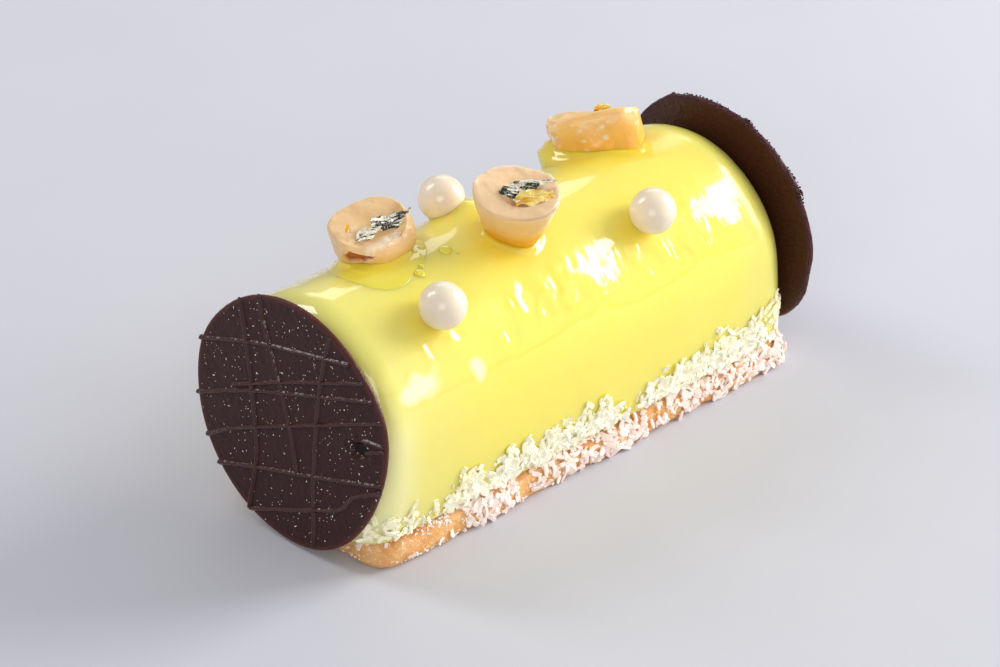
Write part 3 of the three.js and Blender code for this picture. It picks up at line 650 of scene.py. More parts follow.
def nut_profile(nut, count):
    """Share of the plan, rise and wave of a nut, from its foot over its rim to its middle."""
    base, lip, blunt = nut["base"], nut["lip"], nut["blunt"]
    low_swell, high_swell = nut["swell"]
    profile = [
        (base * 0.6, 0, 0), (base * 0.95, 0.05, 0),
        (base + (1 - base) * low_swell, 0.32, 0.1), (base + (1 - base) * high_swell, 0.62, 0.4),
        (1, lip - blunt, 0.8), (1 - 0.15 * blunt, lip, 1),
        (1 - 0.6 * blunt, (lip + 1) / 2, 1), (1 - 1.4 * blunt, 1, 1),
        (0.76, 1, 0.9), (0.5, 1, 0.6), (0.02, 1, 0.3),
    ]
    return smooth_line(profile, count)


def nut_dish(name, x, y):
    """Depth of the hollow in a nut's top at places in its own frame."""
    if name == "nut_1":
        off = y + 1.5 - 0.16 * x
        near_side = 1.3 + 2.0 * smoothstep(-x, -1, 3.5)
        wide = np.where(off > 0, 3.6, near_side)
        groove = 0.60 * np.exp(-((off / wide) ** 2)) + 0.70 * np.exp(-((off / 1.2) ** 2))
        return groove * (1 - smoothstep(np.abs(x - 0.9), 2.4, 6.2))
    if name == "nut_2":
        off = np.hypot((x - 1.3) / 4.7, (y + 0.4) / 3.7)
        return 2.9 * (1 - smoothstep(off, 0.2, 0.92)) + 0.15 * (1 - smoothstep(off, 0.9, 1.4))
    return 0.4 * (1 - smoothstep(np.hypot(x / 6.5, y / 3.2), 0.2, 1.0))


def nut_outline(nut, angle):
    """Radius shares of a nut's plan at an angle."""
    c, s = np.cos(angle), np.sin(angle)
    blunt = (np.abs(c) ** nut["square"] + np.abs(s) ** nut["square"]) ** (-1 / nut["square"])
    rough = 1 + 0.035 * np.sin(2 * angle + nut["phase"]) + 0.025 * np.sin(3 * angle + 2 * nut["phase"])
    return blunt * rough * c, blunt * rough * s


def distance_to_nut(nut, points):
    """Distance of points of the log from the side of a nut, below zero inside it."""
    local = (points - nut["place"]) @ turn_matrix(nut["turn"])
    profile = nut_profile(nut, 60)[:24]
    share = np.interp(local[..., 2] / nut["height"], profile[:, 2], profile[:, 0])
    angle = np.arctan2(local[..., 1] / nut["width"], local[..., 0] / nut["length"])
    across, up = nut_outline(nut, angle)
    reach = np.hypot(across * nut["length"], up * nut["width"]) / 2 * share
    return np.hypot(local[..., 0], local[..., 1]) - reach


def glaze_rises(points):
    """Heights of the glaze over the bare log, and how deep its yellow is, including a painted shadow beside
    each pearl.
    """
    x, y, z = points[..., 0], points[..., 1], points[..., 2]
    up = np.clip((z - LOG_WIDEST) / (LOG_TOP - LOG_WIDEST), 0, 1)
    rise = 0
    for mx, my, height, spread in MOUNDS:
        rise = rise + height * np.exp(-((x - mx) ** 2 + (y - my) ** 2) / (2 * spread ** 2))
    rise = rise * up
    bead = bead_rise(points)
    rise = np.where(up > 0.5, 0.45 * np.logaddexp(rise / 0.45, bead / 0.45), rise)
    deep = np.zeros(points.shape[:-1])
    top = up > 0.4
    for nut in NUTS.values():
        away = np.maximum(distance_to_nut(nut, points), 0)
        rise = rise + np.where(top, 0.65 * np.exp(-away / 0.55), 0)
        deep = np.maximum(deep, np.where(top, 0.9 * np.exp(-(away / 3.0) ** 1.2), 0))
    for place in PEARLS.values():
        away = np.maximum(np.linalg.norm(points - place, axis=-1) - PEARL_RADIUS, 0)
        rise = rise + 0.4 * np.exp(-away / 0.5)
        # Painted shadow: deeper yellow on the -X and lower side of each pearl, where its shadow falls.
        shaded = np.maximum(np.linalg.norm(points - place - [-1.6, 0, -0.6], axis=-1) - PEARL_RADIUS, 0)
        deep = np.maximum(deep, 0.35 * np.exp(-(shaded / 3.0) ** 1.3))
    swell = 0.07 * noise(points, 13, 1)
    front = smoothstep(-y, 6, 9)
    fold = np.zeros(points.shape[:-1])
    warped = shaken(points, 0.8, 2.2, 3)
    for fx, fz, long, high, tilt, ripple, width in FACETS:
        off = warped[..., 0] - fx
        near = np.exp(-((off / long) ** 2 + ((warped[..., 2] - fz) / high) ** 2)) * front
        folds = noise(points, (width, 3.2, 3.2), 6) + 0.6 * noise(points, (0.9, 1.1, 1.1), 7)
        swell = swell + near * (ripple * folds - tilt * off)
        fold = np.maximum(fold, near * ripple * 20)
    return rise + swell * smoothstep(z, 8, 14), deep, fold


def glaze_tints(rings):
    """How pale the glaze is (painted shade and light), where painted reflections lighten it, and how dull it
    is, at points of its surface.
    """
    x, y, z = rings[..., 0], rings[..., 1], rings[..., 2]
    # Paler towards the near end: painted light, for the softer light that falls there.
    pale = 0.9 * (1 - smoothstep(x, 2, 34))
    # Paler by the far disc: painted shade of that disc.
    pale = np.maximum(pale, 0.75 * smoothstep(x, 86, 97))
    # Paler towards the top: painted light, for how the top is lit.
    pale = np.maximum(pale, 0.28 * smoothstep(z, 37, 43))
    # Painted reflections: pale soft patches where a soft light is mirrored in the front.
    painted_light = np.zeros(rings.shape[:2])
    blurred = shaken(rings, 1.2, 2.5, 8)
    for cx, cz, long, high in PAINTED_REFLECTIONS:
        off = np.hypot((blurred[..., 0] - cx) / long, (blurred[..., 2] - cz) / high)
        painted_light = np.maximum(painted_light, (1 - smoothstep(off, 0.3, 1.2)) * (y < 0))
    # Painted light: a strip by the near disc lightened, where the disc's shade falls on the glaze.
    painted_light_strip = 0.5 * (1 - smoothstep(x, 5.0, 13.5)) * (y < 0)
    painted_light_strip = painted_light_strip * smoothstep(z, 6, 11) * (1 - smoothstep(z, 25, 34))
    crown = 0.6 * smoothstep(x, 76, 82) * smoothstep(y, -9, -3) * (1 - smoothstep(y, 8, 12))
    dull = np.maximum(smoothstep(x, 91.5, 94), crown)
    return {"pale": pale, "painted_light": np.maximum(painted_light, painted_light_strip), "dull": dull}


def make_glaze():
    rings = log_rings()
    normals = grid_normals(rings, True)
    away = rings - np.array([52.0, 0, LOG_WIDEST])
    if (normals * away)[40:-40].sum() < 0:
        normals = -normals
    rise, deep, fold = glaze_rises(rings)
    rise[0] = rise[-1] = 0
    rings = rings + normals * rise[..., None]
    points, faces = closed_skin(rings)
    values = {"deep": deep, "fold": fold, **glaze_tints(rings)}
    ends = {"deep": 0, "fold": 0, "pale": 0, "painted_light": 0, "dull": 1}
    values = {key: np.append(value.ravel(), [ends[key]] * 2) for key, value in values.items()}
    piece = new_piece("glaze_log", points, faces, glaze_material(), values)
    dress(piece, ["log"])
    return rings, normals


def top_height(x, y):
    """Height of the glaze at a place on its top."""
    z = LOG_WIDEST + (LOG_TOP - LOG_WIDEST) * np.sqrt(1 - (y / LOG_HALF_WIDTH) ** 2)
    points = np.stack([x, y, z], -1)
    return z + glaze_rises(points)[0]


def make_pool(material):
    """The flat pool of syrup before the first nut."""
    angles = np.linspace(-math.pi, math.pi, 145)[:-1]
    at = np.radians([a for a, r in POOL_EDGE])
    reach = np.interp(angles, at, [r for a, r in POOL_EDGE], period=2 * math.pi)
    kernel = np.hanning(15) / np.hanning(15).sum()
    reach = np.convolve(np.tile(reach, 3), kernel, "same")[144:288]
    shares = 1 - np.linspace(1, 0.02, 40) ** 1.6
    x = POOL_MIDDLE[0] + shares[:, None] * reach * np.cos(angles)
    y = POOL_MIDDLE[1] + shares[:, None] * reach * np.sin(angles)
    depth = POOL_DEPTH * np.sqrt(np.clip(1 - shares ** 6, 0, 1))[:, None]
    z = top_height(x, y) + depth - 0.03
    rings = np.stack([x, y, z], -1)
    skirt = rings[-1:] - np.array([0, 0, 0.3])
    points, faces = closed_skin(np.concatenate([rings, skirt]))
    dress(new_piece("syrup_pool", points, faces, material))


def make_bubbles(material):
    """Flat domes of trapped air in the syrup."""
    angles = np.linspace(0, 2 * math.pi, 28, endpoint=False)
    rises = np.linspace(-0.3, math.pi / 2 - 0.05, 10)
    domes = []
    for x, y, radius in BUBBLES:
        px = x + radius * np.cos(rises)[:, None] * np.cos(angles)
        py = y + radius * np.cos(rises)[:, None] * np.sin(angles)
        pz = top_height(px, py) + 0.08 + 0.42 * radius * np.sin(rises)[:, None]
        domes.append(closed_skin(np.stack([px, py, pz], -1)))
    dress(new_piece("syrup_bubbles", *join_skins(domes), material))


# Base

def base_outline(inset, count):
    """Outline of the base, drawn in by inset, as evenly spread points."""
    half = (BASE_END - BASE_START) / 2
    outline = []
    for sx, sy, start in [(1, 1, 0), (-1, 1, 90), (-1, -1, 180), (1, -1, 270)]:
        angles = np.radians(start + np.linspace(0, 90, 12))
        r = BASE_CORNER - inset
        cx, cy = sx * (half - BASE_CORNER), sy * (BASE_HALF_WIDTH - BASE_CORNER)
        outline.append(np.column_stack([cx + r * np.cos(angles), cy + r * np.sin(angles)]))
    corners = np.vstack(outline)
    loop = np.vstack([corners, corners[:1]])
    along = np.concatenate([[0], np.cumsum(np.linalg.norm(np.diff(loop, axis=0), axis=1))])
    at = np.linspace(0, along[-1], count, endpoint=False)
    x, y = np.interp(at, along, loop[:, 0]), np.interp(at, along, loop[:, 1])
    wave = BASE_UNEVEN * np.sin(x * 0.31 + np.where(y > 0, 2, 0)) * np.sin(x * 0.11 + 1)
    skew = BASE_SKEW * y * np.maximum(0, 0.5 - x / (2 * half))
    return np.column_stack([(BASE_START + BASE_END) / 2 + x - skew, y * (1 + wave / BASE_HALF_WIDTH)])


def make_shortbread():
    profile = smooth_line(BASE_PROFILE, 26)
    extra = [(inset, BASE_HEIGHT) for inset in np.linspace(3, 12, 14)]
    rings = []
    for inset, z in [*profile, *extra]:
        outline = base_outline(min(inset, BASE_CORNER - 0.3), 900)
        shrink = max(0, inset - BASE_CORNER + 0.3)
        middle = outline.mean(0)
        outline = middle + (outline - middle) * (1 - shrink / BASE_HALF_WIDTH)
        rings.append(np.column_stack([outline, np.full(len(outline), max(z, 0.0))]))
    rings = np.stack(rings)
    normals = grid_normals(rings, True)
    if (normals * (rings - rings.mean((0, 1)))).sum() < 0:
        normals = -normals
    lumpy = 0.22 * noise(rings, 2.6, 11) + 0.12 * noise(rings, 0.9, 12)
    held = smoothstep(rings[..., 2], 0, 0.6) * np.where(rings[..., 2] > BASE_HEIGHT - 0.05, 0.3, 1)
    rings = rings + normals * (np.minimum(lumpy, 0.2) * held)[..., None]
    points, faces = closed_skin(rings)
    brown = smoothstep(rings[..., 2], 4.0, 5.8) * 0.7
    brown = np.append(brown.ravel(), [0, 0])
    piece = new_piece("shortbread_base", points, faces, shortbread_material(), {"brown": brown})
    dress(piece, ["base"])
    return rings, normals


# Coconut

def shreds(places, normals, rng, length, width, thickness, stand):
    """Bent slivers on a surface, as points and faces. stand is how far they turn out of it."""
    count = len(places)
    long = rng.uniform(*length, count)
    wide = rng.uniform(*width, count)
    thick = rng.uniform(*thickness, count)
    bend = rng.uniform(-0.25, 0.25, count) * long
    loose = rng.normal(size=(count, 3))
    tangent = np.cross(loose, normals)
    tangent /= np.linalg.norm(tangent, axis=1, keepdims=True)
    lean = rng.uniform(-0.15, stand, count)[:, None]
    axis = tangent + lean * normals
    axis /= np.linalg.norm(axis, axis=1, keepdims=True)
    face = normals + 0.25 * rng.normal(size=(count, 3))
    face = np.cross(axis, np.cross(face, axis))
    face /= np.linalg.norm(face, axis=1, keepdims=True)
    side = np.cross(face, axis)
    steps = np.array([-0.5, -0.42, 0.0, 0.40, 0.5])
    size = np.array([0.55, 0.85, 1.0, 0.8, 0.5]) * rng.uniform(0.7, 1.15, (count, 5))
    sway = rng.uniform(-0.12, 0.12, (count, 5)) * wide[:, None]
    corners = [(1, 0), (0.8, 1), (-0.8, 1), (-1, 0), (-0.8, -1), (0.8, -1)]
    points = np.zeros((count, len(steps), SHRED_SIDES, 3))
    for i, step in enumerate(steps):
        middle = axis * (step * long)[:, None] + face * (bend * (0.25 - step ** 2) * 2)[:, None]
        middle += side * sway[:, i : i + 1]
        for j, (a, b) in enumerate(corners):
            out = face * (b * thick / 2 * np.sqrt(size[:, i]))[:, None]
            points[:, i, j] = middle + side * (a * wide / 2 * size[:, i])[:, None] + out
    points += (places + axis * (long * 0.22 * np.abs(lean[:, 0]))[:, None])[:, None, None, :]
    quads = grid_faces(len(steps), SHRED_SIDES, True).tolist()
    last = (len(steps) - 1) * SHRED_SIDES
    for ring, ahead in [((3, 2, 1, 0), 0), ((5, 4, 3, 0), 0), ((0, 1, 2, 3), last), ((0, 3, 4, 5), last)]:
        quads.append([corner + ahead for corner in ring])
    starts = len(steps) * SHRED_SIDES * np.arange(count)[:, None, None]
    return points.reshape(-1, 3), (np.array(quads)[None] + starts).reshape(-1, 4)


def pick(weights, count, rng):
    share = weights.ravel() / weights.sum()
    return rng.choice(weights.size, count, p=share)


def join_parts(parts):
    """Points, faces and tones of sets of slivers as those of one piece."""
    points, faces, tones, start = [], [], [], 0
    for part_points, part_faces, part_tones in parts:
        points.append(part_points)
        faces.append(part_faces + start)
        tones.append(part_tones)
        start += len(part_points)
    return np.vstack(points), np.vstack(faces), np.concatenate(tones)


def spread_flakes(kinds, weight, rings, normals, rng, tone_of):
    """Flakes of some kinds on a surface, spread by weight, as points, faces and tones."""
    parts = []
    for count, length, width, thickness, stand, out in kinds:
        chosen = pick(weight, count, rng)
        lying, facing = rings.reshape(-1, 3)[chosen], normals.reshape(-1, 3)[chosen]
        places = lying + facing * rng.uniform(0, 2 * out, count)[:, None]
        points, faces = shreds(places, facing, rng, length, width, thickness, stand)
        points[:, 2] = np.maximum(points[:, 2], 0.02)
        parts.append((points, faces, np.repeat(tone_of(places), len(points) // count)))
    return join_parts(parts)


def band_top(x):
    """Height that the coconut reaches on the log's side."""
    along, height = np.array(BAND_TOP).T
    return np.interp(x, along, height)


def log_coconut(rings, normals, rng):
    x, z = rings[..., 0], rings[..., 2]
    tufts = 1.9 * noise(rings * [1, 0, 0], 5.5, 21) + 1.9 * noise(rings * [1, 0, 0], 1.9, 22)
    ceiling = band_top(x) + tufts
    thin = 0.6 + 0.4 * smoothstep(x, 16, 24) + 0.2 * (1 - smoothstep(x, 5, 9))
    gap = 1 - 0.85 * np.exp(-((x - 62) / 2.6) ** 2) * smoothstep(9.0 - z, -1, 1)
    weight = smoothstep(ceiling - z, -0.5, 5.5) * thin * gap
    weight *= np.where((z > LOG_FOOT + 0.5) & (np.abs(rings[..., 1]) > 8), 1, 0)

    def wetness(places):
        wet = smoothstep(places[:, 2], 8, 15) * 0.5 + rng.uniform(0, 0.5, len(places))
        return np.clip(wet + (places[:, 0] < 22) * 0.3, 0, 1)

    return spread_flakes(LOG_FLAKES, weight, rings, normals, rng, wetness)


def base_coconut(rings, normals, rng):
    x, z = rings[..., 0], rings[..., 2]
    start = smoothstep(x + 1.5 * noise(rings, 5, 31), 20, 24)
    patches = smoothstep(noise(rings, 4.5, 32), -0.8, -0.2)
    bare = 1 - 0.9 * np.exp(-((x - 63) / 3.0) ** 2) * smoothstep(z, 3.6, 4.6)
    weight = np.where((z > 0.7) & (z < BASE_HEIGHT - 0.02), 1, 0) * (start * patches * bare + 0.03)

    def dryness(places):
        return rng.uniform(0, 1, len(places))

    return spread_flakes(BASE_FLAKES, weight, rings, normals, rng, dryness)


def make_coconut(log, base):
    rng = np.random.default_rng(MAIN_SEED)
    points, faces, tones = log_coconut(*log, rng)
    wet = coconut_material("glazed_coconut", colour(0.99, 0.96, 0.83), colour(0.98, 0.92, 0.57))
    dress(new_piece("coconut_on_log", points, faces, wet, {"tone": tones}, smooth=False))
    points, faces, tones = base_coconut(*base, rng)
    dry = coconut_material("dry_coconut", colour(0.98, 0.87, 0.80), colour(0.95, 0.76, 0.66))
    dress(new_piece("coconut_on_base", points, faces, dry, {"tone": tones}, smooth=False))


def make_sugar(rings, normals):
    """Grains on the bare corner of the shortbread."""
    rng = np.random.default_rng(MAIN_SEED + 1)
    x, z = rings[..., 0], rings[..., 2]
    patches = smoothstep(noise(rings, 2.5, 41), -0.4, 0.5)
    weight = np.where((z > 0.5) & (z <= BASE_HEIGHT), 1, 0) * (1 - smoothstep(x, 20, 26)) * patches
    chosen = pick(weight, SUGAR_GRAINS, rng)
    places, out = rings.reshape(-1, 3)[chosen], normals.reshape(-1, 3)[chosen]
    points, faces = shreds(places, out, rng, (0.2, 0.7), (0.2, 0.5), (0.15, 0.3), 0.4)
    dress(new_piece("sugar_grains", points, faces, sugar_material(), smooth=False))


# Discs

def rim_radius(disc, rim, angle):
    """Radius of a disc's rim at angles in degrees."""
    total = np.full(np.shape(angle), float(disc["radius"]) - 0.1)
    for at, height, spread in rim:
        off = (angle - at + 540) % 360 - 180
        total += height * np.exp(-((off / spread) ** 2) / 2)
    return total


def disc_grid(count):
    """A square grid turned into a disc of radius 1, as angle and radius."""
    a, b = np.meshgrid(np.linspace(-1, 1, count), np.linspace(-1, 1, count), indexing="ij")
    radius = np.maximum(np.abs(a), np.abs(b))
    with np.errstate(divide="ignore", invalid="ignore"):
        first = np.where(np.abs(a) > np.abs(b), math.pi / 4 * b / a, math.pi / 2 - math.pi / 4 * a / b)
    first = np.nan_to_num(first)
    angle = np.where(np.where(np.abs(a) > np.abs(b), a, b) < 0, first + math.pi, first)
    return angle, radius


def grid_edge(count):
    """Numbers of the points round the edge of a square grid."""
    n = count - 1
    edge = [(n, i) for i in range(n)] + [(i, n) for i in range(n, 0, -1)]
    edge += [(0, i) for i in range(n, 0, -1)] + [(i, 0) for i in range(n)]
    return np.array([i * count + j for i, j in edge])


def place_disc(disc, points):
    return points @ disc_frame(disc)[0].T + disc["centre"]


def edge_loops(disc, rim, side, grain, angle):
    """Loops of points round a disc's edge, from its drizzled face to its plain one."""
    radius = rim_radius(disc, rim, np.degrees(angle))
    course = np.stack([np.zeros_like(angle), np.cos(angle) * 20, np.sin(angle) * 20], -1)
    loops = []
    for t in np.linspace(0, math.pi, 9)[1:-1]:
        coarse, fine = noise(course + [t, 0, 0], 0.9, 54), noise(course + [2 * t, 0, 0], 0.4, 55)
        crumb = grain * (0.6 * coarse + 0.4 * fine)
        r = radius - EDGE_ROUND + EDGE_ROUND * math.sin(t) + crumb * math.sin(t)
        x = -side * disc["thickness"] / 2 * (1 - math.cos(t))
        loops.append(np.stack([np.full_like(r, x), r * np.cos(angle), r * np.sin(angle)], -1))
    return loops


def make_plate(name, disc, rim, side, material, grain, pit=None):
    """The plate of a disc. side is -1 where its drizzled face looks to -X and 1 where it looks to +X."""
    count = 161
    angle, share = disc_grid(count)
    radius = rim_radius(disc, rim, np.degrees(angle))
    flat_radius = share * (radius - EDGE_ROUND)
    y, z = flat_radius * np.cos(angle), flat_radius * np.sin(angle)
    flat = np.stack([np.zeros_like(y), y, z], -1)
    dish = 0.06 * noise(flat, 9, 51) + 0.015 * noise(flat, 1.2, 52)
    if pit:
        off = np.hypot((y - pit["y"]) / pit["long"], (z - pit["z"]) / pit["high"])
        off = off + 0.2 * noise(flat, 0.9, 56)
        raised_edge = 0.16 * np.exp(-((off - 1.25) / 0.22) ** 2)
        dish = dish + pit["deep"] * (1 - smoothstep(off, 0.55, 1.05)) - raised_edge
    front = flat + np.stack([-side * dish, np.zeros_like(y), np.zeros_like(y)], -1)
    back = flat + [-side * disc["thickness"], 0, 0] + np.stack([0.03 * noise(flat, 7, 53), 0 * y, 0 * y], -1)
    edge = grid_edge(count)
    loops = edge_loops(disc, rim, side, grain, angle.ravel()[edge])
    points = np.vstack([front.reshape(-1, 3), back.reshape(-1, 3), *loops])
    quads = grid_faces(count, count, False)
    faces = [quads, quads[:, ::-1] + count * count]
    loop_ids = [edge]
    for k in range(len(loops)):
        loop_ids.append(2 * count ** 2 + k * len(edge) + np.arange(len(edge)))
    loop_ids.append(edge + count ** 2)
    for a, b in zip(loop_ids, loop_ids[1:]):
        faces.append(np.stack([a, np.roll(a, -1), np.roll(b, -1), b], -1))
    near_rim = smoothstep(share, 0.965, 0.995).ravel()
    rims = np.concatenate([near_rim, near_rim, np.ones(len(loops) * len(edge))])
    # Painted shade in the pit of the face.
    pit_shade = np.zeros(len(points))
    if pit:
        pit_shade[: count * count] = (1 - smoothstep(off, 0.55, 0.85)).ravel()
    values = {"rim": rims, "pit": pit_shade}
    piece = new_piece(name, place_disc(disc, points), np.vstack(faces), material, values)
    dress(piece)
    return piece


def make_drizzle(name, disc, lines, side, material):
    """Threads of chocolate lying on a disc's face."""
    threads = []
    for number, line in enumerate(lines):
        length = np.linalg.norm(np.diff(np.array(line, float), axis=0), axis=1).sum()
        count = max(16, int(length / 0.25))
        path = smooth_line(line, count)
        course = np.column_stack([np.full(count, number * 9.0), path])
        path = path + 0.06 * np.column_stack([noise(course, 2.2, 61), noise(course, 2.2, 62)])
        ahead = np.gradient(path, axis=0)
        ahead /= np.linalg.norm(ahead, axis=1, keepdims=True)
        across = np.column_stack([-ahead[:, 1], ahead[:, 0]])
        radius = LINE * (1 + 0.13 * noise(course, 1.6, 63) + 0.06 * noise(course, 0.6, 64))
        ends = np.minimum(np.arange(count), np.arange(count)[::-1]) * 0.25
        radius = radius * np.sqrt(np.clip(1 - (1 - np.minimum(ends / LINE, 1)) ** 2, 0.02, 1))
        out = RIDGE[:, 0] * radius[:, None]
        wide = RIDGE[:, 1] * radius[:, None]
        rings = np.empty((count, len(RIDGE), 3))
        rings[..., 0] = side * out
        rings[..., 1:] = path[:, None, :] + wide[..., None] * across[:, None, :]
        threads.append(closed_skin(rings))
    points, faces = join_skins(threads)
    rims = np.full(len(points), 0.2)
    piece = new_piece(name, place_disc(disc, points), faces, material, {"rim": rims})
    dress(piece)


def make_specks():
    """Flat glints lying on the drizzled face of the near disc."""
    rng = np.random.default_rng(MAIN_SEED + 2)
    angle = rng.uniform(0, 2 * math.pi, SPECKS)
    radius = SPECKS_REACH * np.sqrt(rng.uniform(0, 1, SPECKS))
    places = np.column_stack([np.full(SPECKS, -0.06), radius * np.cos(angle), radius * np.sin(angle)])
    keep = rng.uniform(0, 1, SPECKS) < 0.34 + 0.30 * smoothstep(noise(places, 7, 71), -0.3, 0.7)
    places = places[keep]
    out = np.tile([-1.0, 0, 0], (len(places), 1))
    large = rng.uniform(0, 1, len(places)) < LARGE_SPECKS
    parts = []
    kinds = [(~large, (0.09, 0.22), (0.09, 0.16)), (large, (0.22, 0.46), (0.12, 0.20))]
    for chosen, length, width in kinds:
        points, faces = shreds(places[chosen], out[chosen], rng, length, width, (0.05, 0.08), 0.5)
        parts.append((points, faces, np.zeros(len(points))))
    points, faces = join_parts(parts)[:2]
    dress(new_piece("gold_specks", place_disc(NEAR_DISC, points), faces, speck_material(), smooth=False))


def make_rim_crumbs(material):
    """Rough crumbs along the far disc's rim and two nubs on it."""
    rng = np.random.default_rng(MAIN_SEED + 3)
    along, large, small = CRUMBS
    angle = np.concatenate([
        rng.uniform(60, 158, along), rng.normal(150.5, 1.5, large), rng.normal(110, 1.0, small),
    ])
    stand = np.concatenate([
        rng.uniform(-0.22, 0.0, along), rng.uniform(-0.1, 0.55, large), rng.uniform(-0.22, 0.1, small),
    ])
    radius = rim_radius(FAR_DISC, FAR_RIM, angle) + stand
    places = np.column_stack([
        rng.uniform(-1.2, 0.1, len(angle)),
        radius * np.cos(np.radians(angle)),
        radius * np.sin(np.radians(angle)),
    ])
    out = places * [0, 1, 1] / radius[:, None]
    points, faces = shreds(places, out, rng, (0.15, 0.4), (0.15, 0.35), (0.12, 0.25), 0.6)
    points = place_disc(FAR_DISC, points)
    dress(new_piece("rim_crumbs", points, faces, material, {"rim": np.ones(len(points))}))


def make_discs():
    near = chocolate_material("dark_chocolate", colour(0.032, 0.010, 0.0095), colour(0.080, 0.022, 0.017))
    thread_tint, thread_edge = colour(0.034, 0.010, 0.008), colour(0.090, 0.024, 0.018)
    thread = chocolate_material("drizzled_chocolate", thread_tint, thread_edge, (0.10, 0.20), 0.5)
    far = chocolate_material("plain_chocolate", colour(0.048, 0.014, 0.007), colour(0.060, 0.016, 0.018))
    plate = make_plate("plate_near", NEAR_DISC, NEAR_RIM, -1, near, 0.05, PIT)
    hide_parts("disc_near")
    make_drizzle("drizzle_near", NEAR_DISC, NEAR_LINES, -1, thread)
    plate = make_plate("plate_far", FAR_DISC, FAR_RIM, 1, far, 0.16)
    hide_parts("disc_far")
    make_drizzle("drizzle_far", FAR_DISC, FAR_LINES, 1, thread)
    make_rim_crumbs(far)
    make_specks()


# Toppings

NUT_COLOURS = {
    "nut_1": (colour(0.87, 0.47, 0.06), colour(0.82, 0.56, 0.28)),
    "nut_2": (colour(0.85, 0.38, 0.01), colour(0.85, 0.60, 0.35)),
    "nut_3": (colour(0.96, 0.45, 0.025), colour(0.90, 0.58, 0.22)),
}

# Pale spots on the front of a nut: x, z and size in its own frame.
PALE_SPOTS = {
    "nut_3": [
        (-2.4, 6.9, 0.8), (1.5, 7.1, 0.7), (1.9, 5.2, 0.8),
        (-2.2, 5.2, 0.7), (-1.8, 3.5, 0.6), (-8.2, 6.2, 2.2),
    ],
}
# Dark specks on a nut: x, y and z in its own frame.
DARK_SPECKS = {
    "nut_2": [(-0.25, -6.1, 9.5), (-2.2, -5.5, 8.2)],
    "nut_1": [(1.0, -3.7, 8.0)],
}


def nut_marks(name, rings, angle, step, uneven, seed):
    """The skin of a nut with what is special to it, and its pale and its dark places."""
    pale, crack = np.zeros_like(uneven), np.zeros_like(uneven)
    if name == "nut_1":
        bearing = np.degrees(angle)[None, :] - 360
        sill = rings[..., 2] - 0.045 * bearing - 13.4
        off = np.hypot((bearing + 130) / 25, sill / 1.8) + 0.25 * noise(rings, 0.8, seed + 4)
        crack = (1 - smoothstep(off, 0.75, 1.0)) * (step < 0.55)
        uneven = uneven - 0.7 * crack
        past_end = np.clip(np.abs(rings[..., 0] + 0.2) - 3.6, 0, None)
        line = np.hypot(past_end, rings[..., 1] - 0.2 * rings[..., 0] + 4.4)
        ragged = (1 - smoothstep(line, 0.3, 1.1)) * (step > 0.4)
        pale = 0.7 * ragged * smoothstep(noise(rings, 1.1, seed + 5), -0.5, 0.4)
        uneven = uneven + 0.30 * ragged * noise(rings, 1.0, seed + 6)
    if name == "nut_2":
        rim = smoothstep(step, 0.48, 0.58) * (1 - smoothstep(step, 0.68, 0.78))
        rim = rim * smoothstep(rings[..., 1], -1, 2.5)
        chipped = noise(rings, 1.5, seed + 8)
        uneven = uneven + 0.4 * rim * (0.35 + chipped)
        pale = 0.55 * rim * smoothstep(chipped, -0.5, 0.4)
    if name == "nut_3":
        frayed = smoothstep(-rings[..., 0], 5.0, 8.0)
        uneven = uneven + 0.45 * frayed * noise(rings, 1.1, seed + 8)
        pale = 0.5 * frayed * smoothstep(noise(rings, 1.1, seed + 8), -0.2, 0.6)
    for sx, sz, size in PALE_SPOTS.get(name, []):
        off = np.hypot((rings[..., 0] - sx) / size, (rings[..., 2] - sz) / size * 1.4)
        off = off + 0.4 * noise(rings, 0.6, seed + 7)
        pale = np.maximum(pale, 0.75 * (1 - smoothstep(off, 0.1, 1.1)) * (rings[..., 1] < 0))
    for sx, sy, sz in DARK_SPECKS.get(name, []):
        off = np.linalg.norm(rings - [sx, sy, sz], axis=-1)
        crack = np.maximum(crack, 0.7 * (1 - smoothstep(off, 0.08, 0.2)))
    return uneven, pale, crack


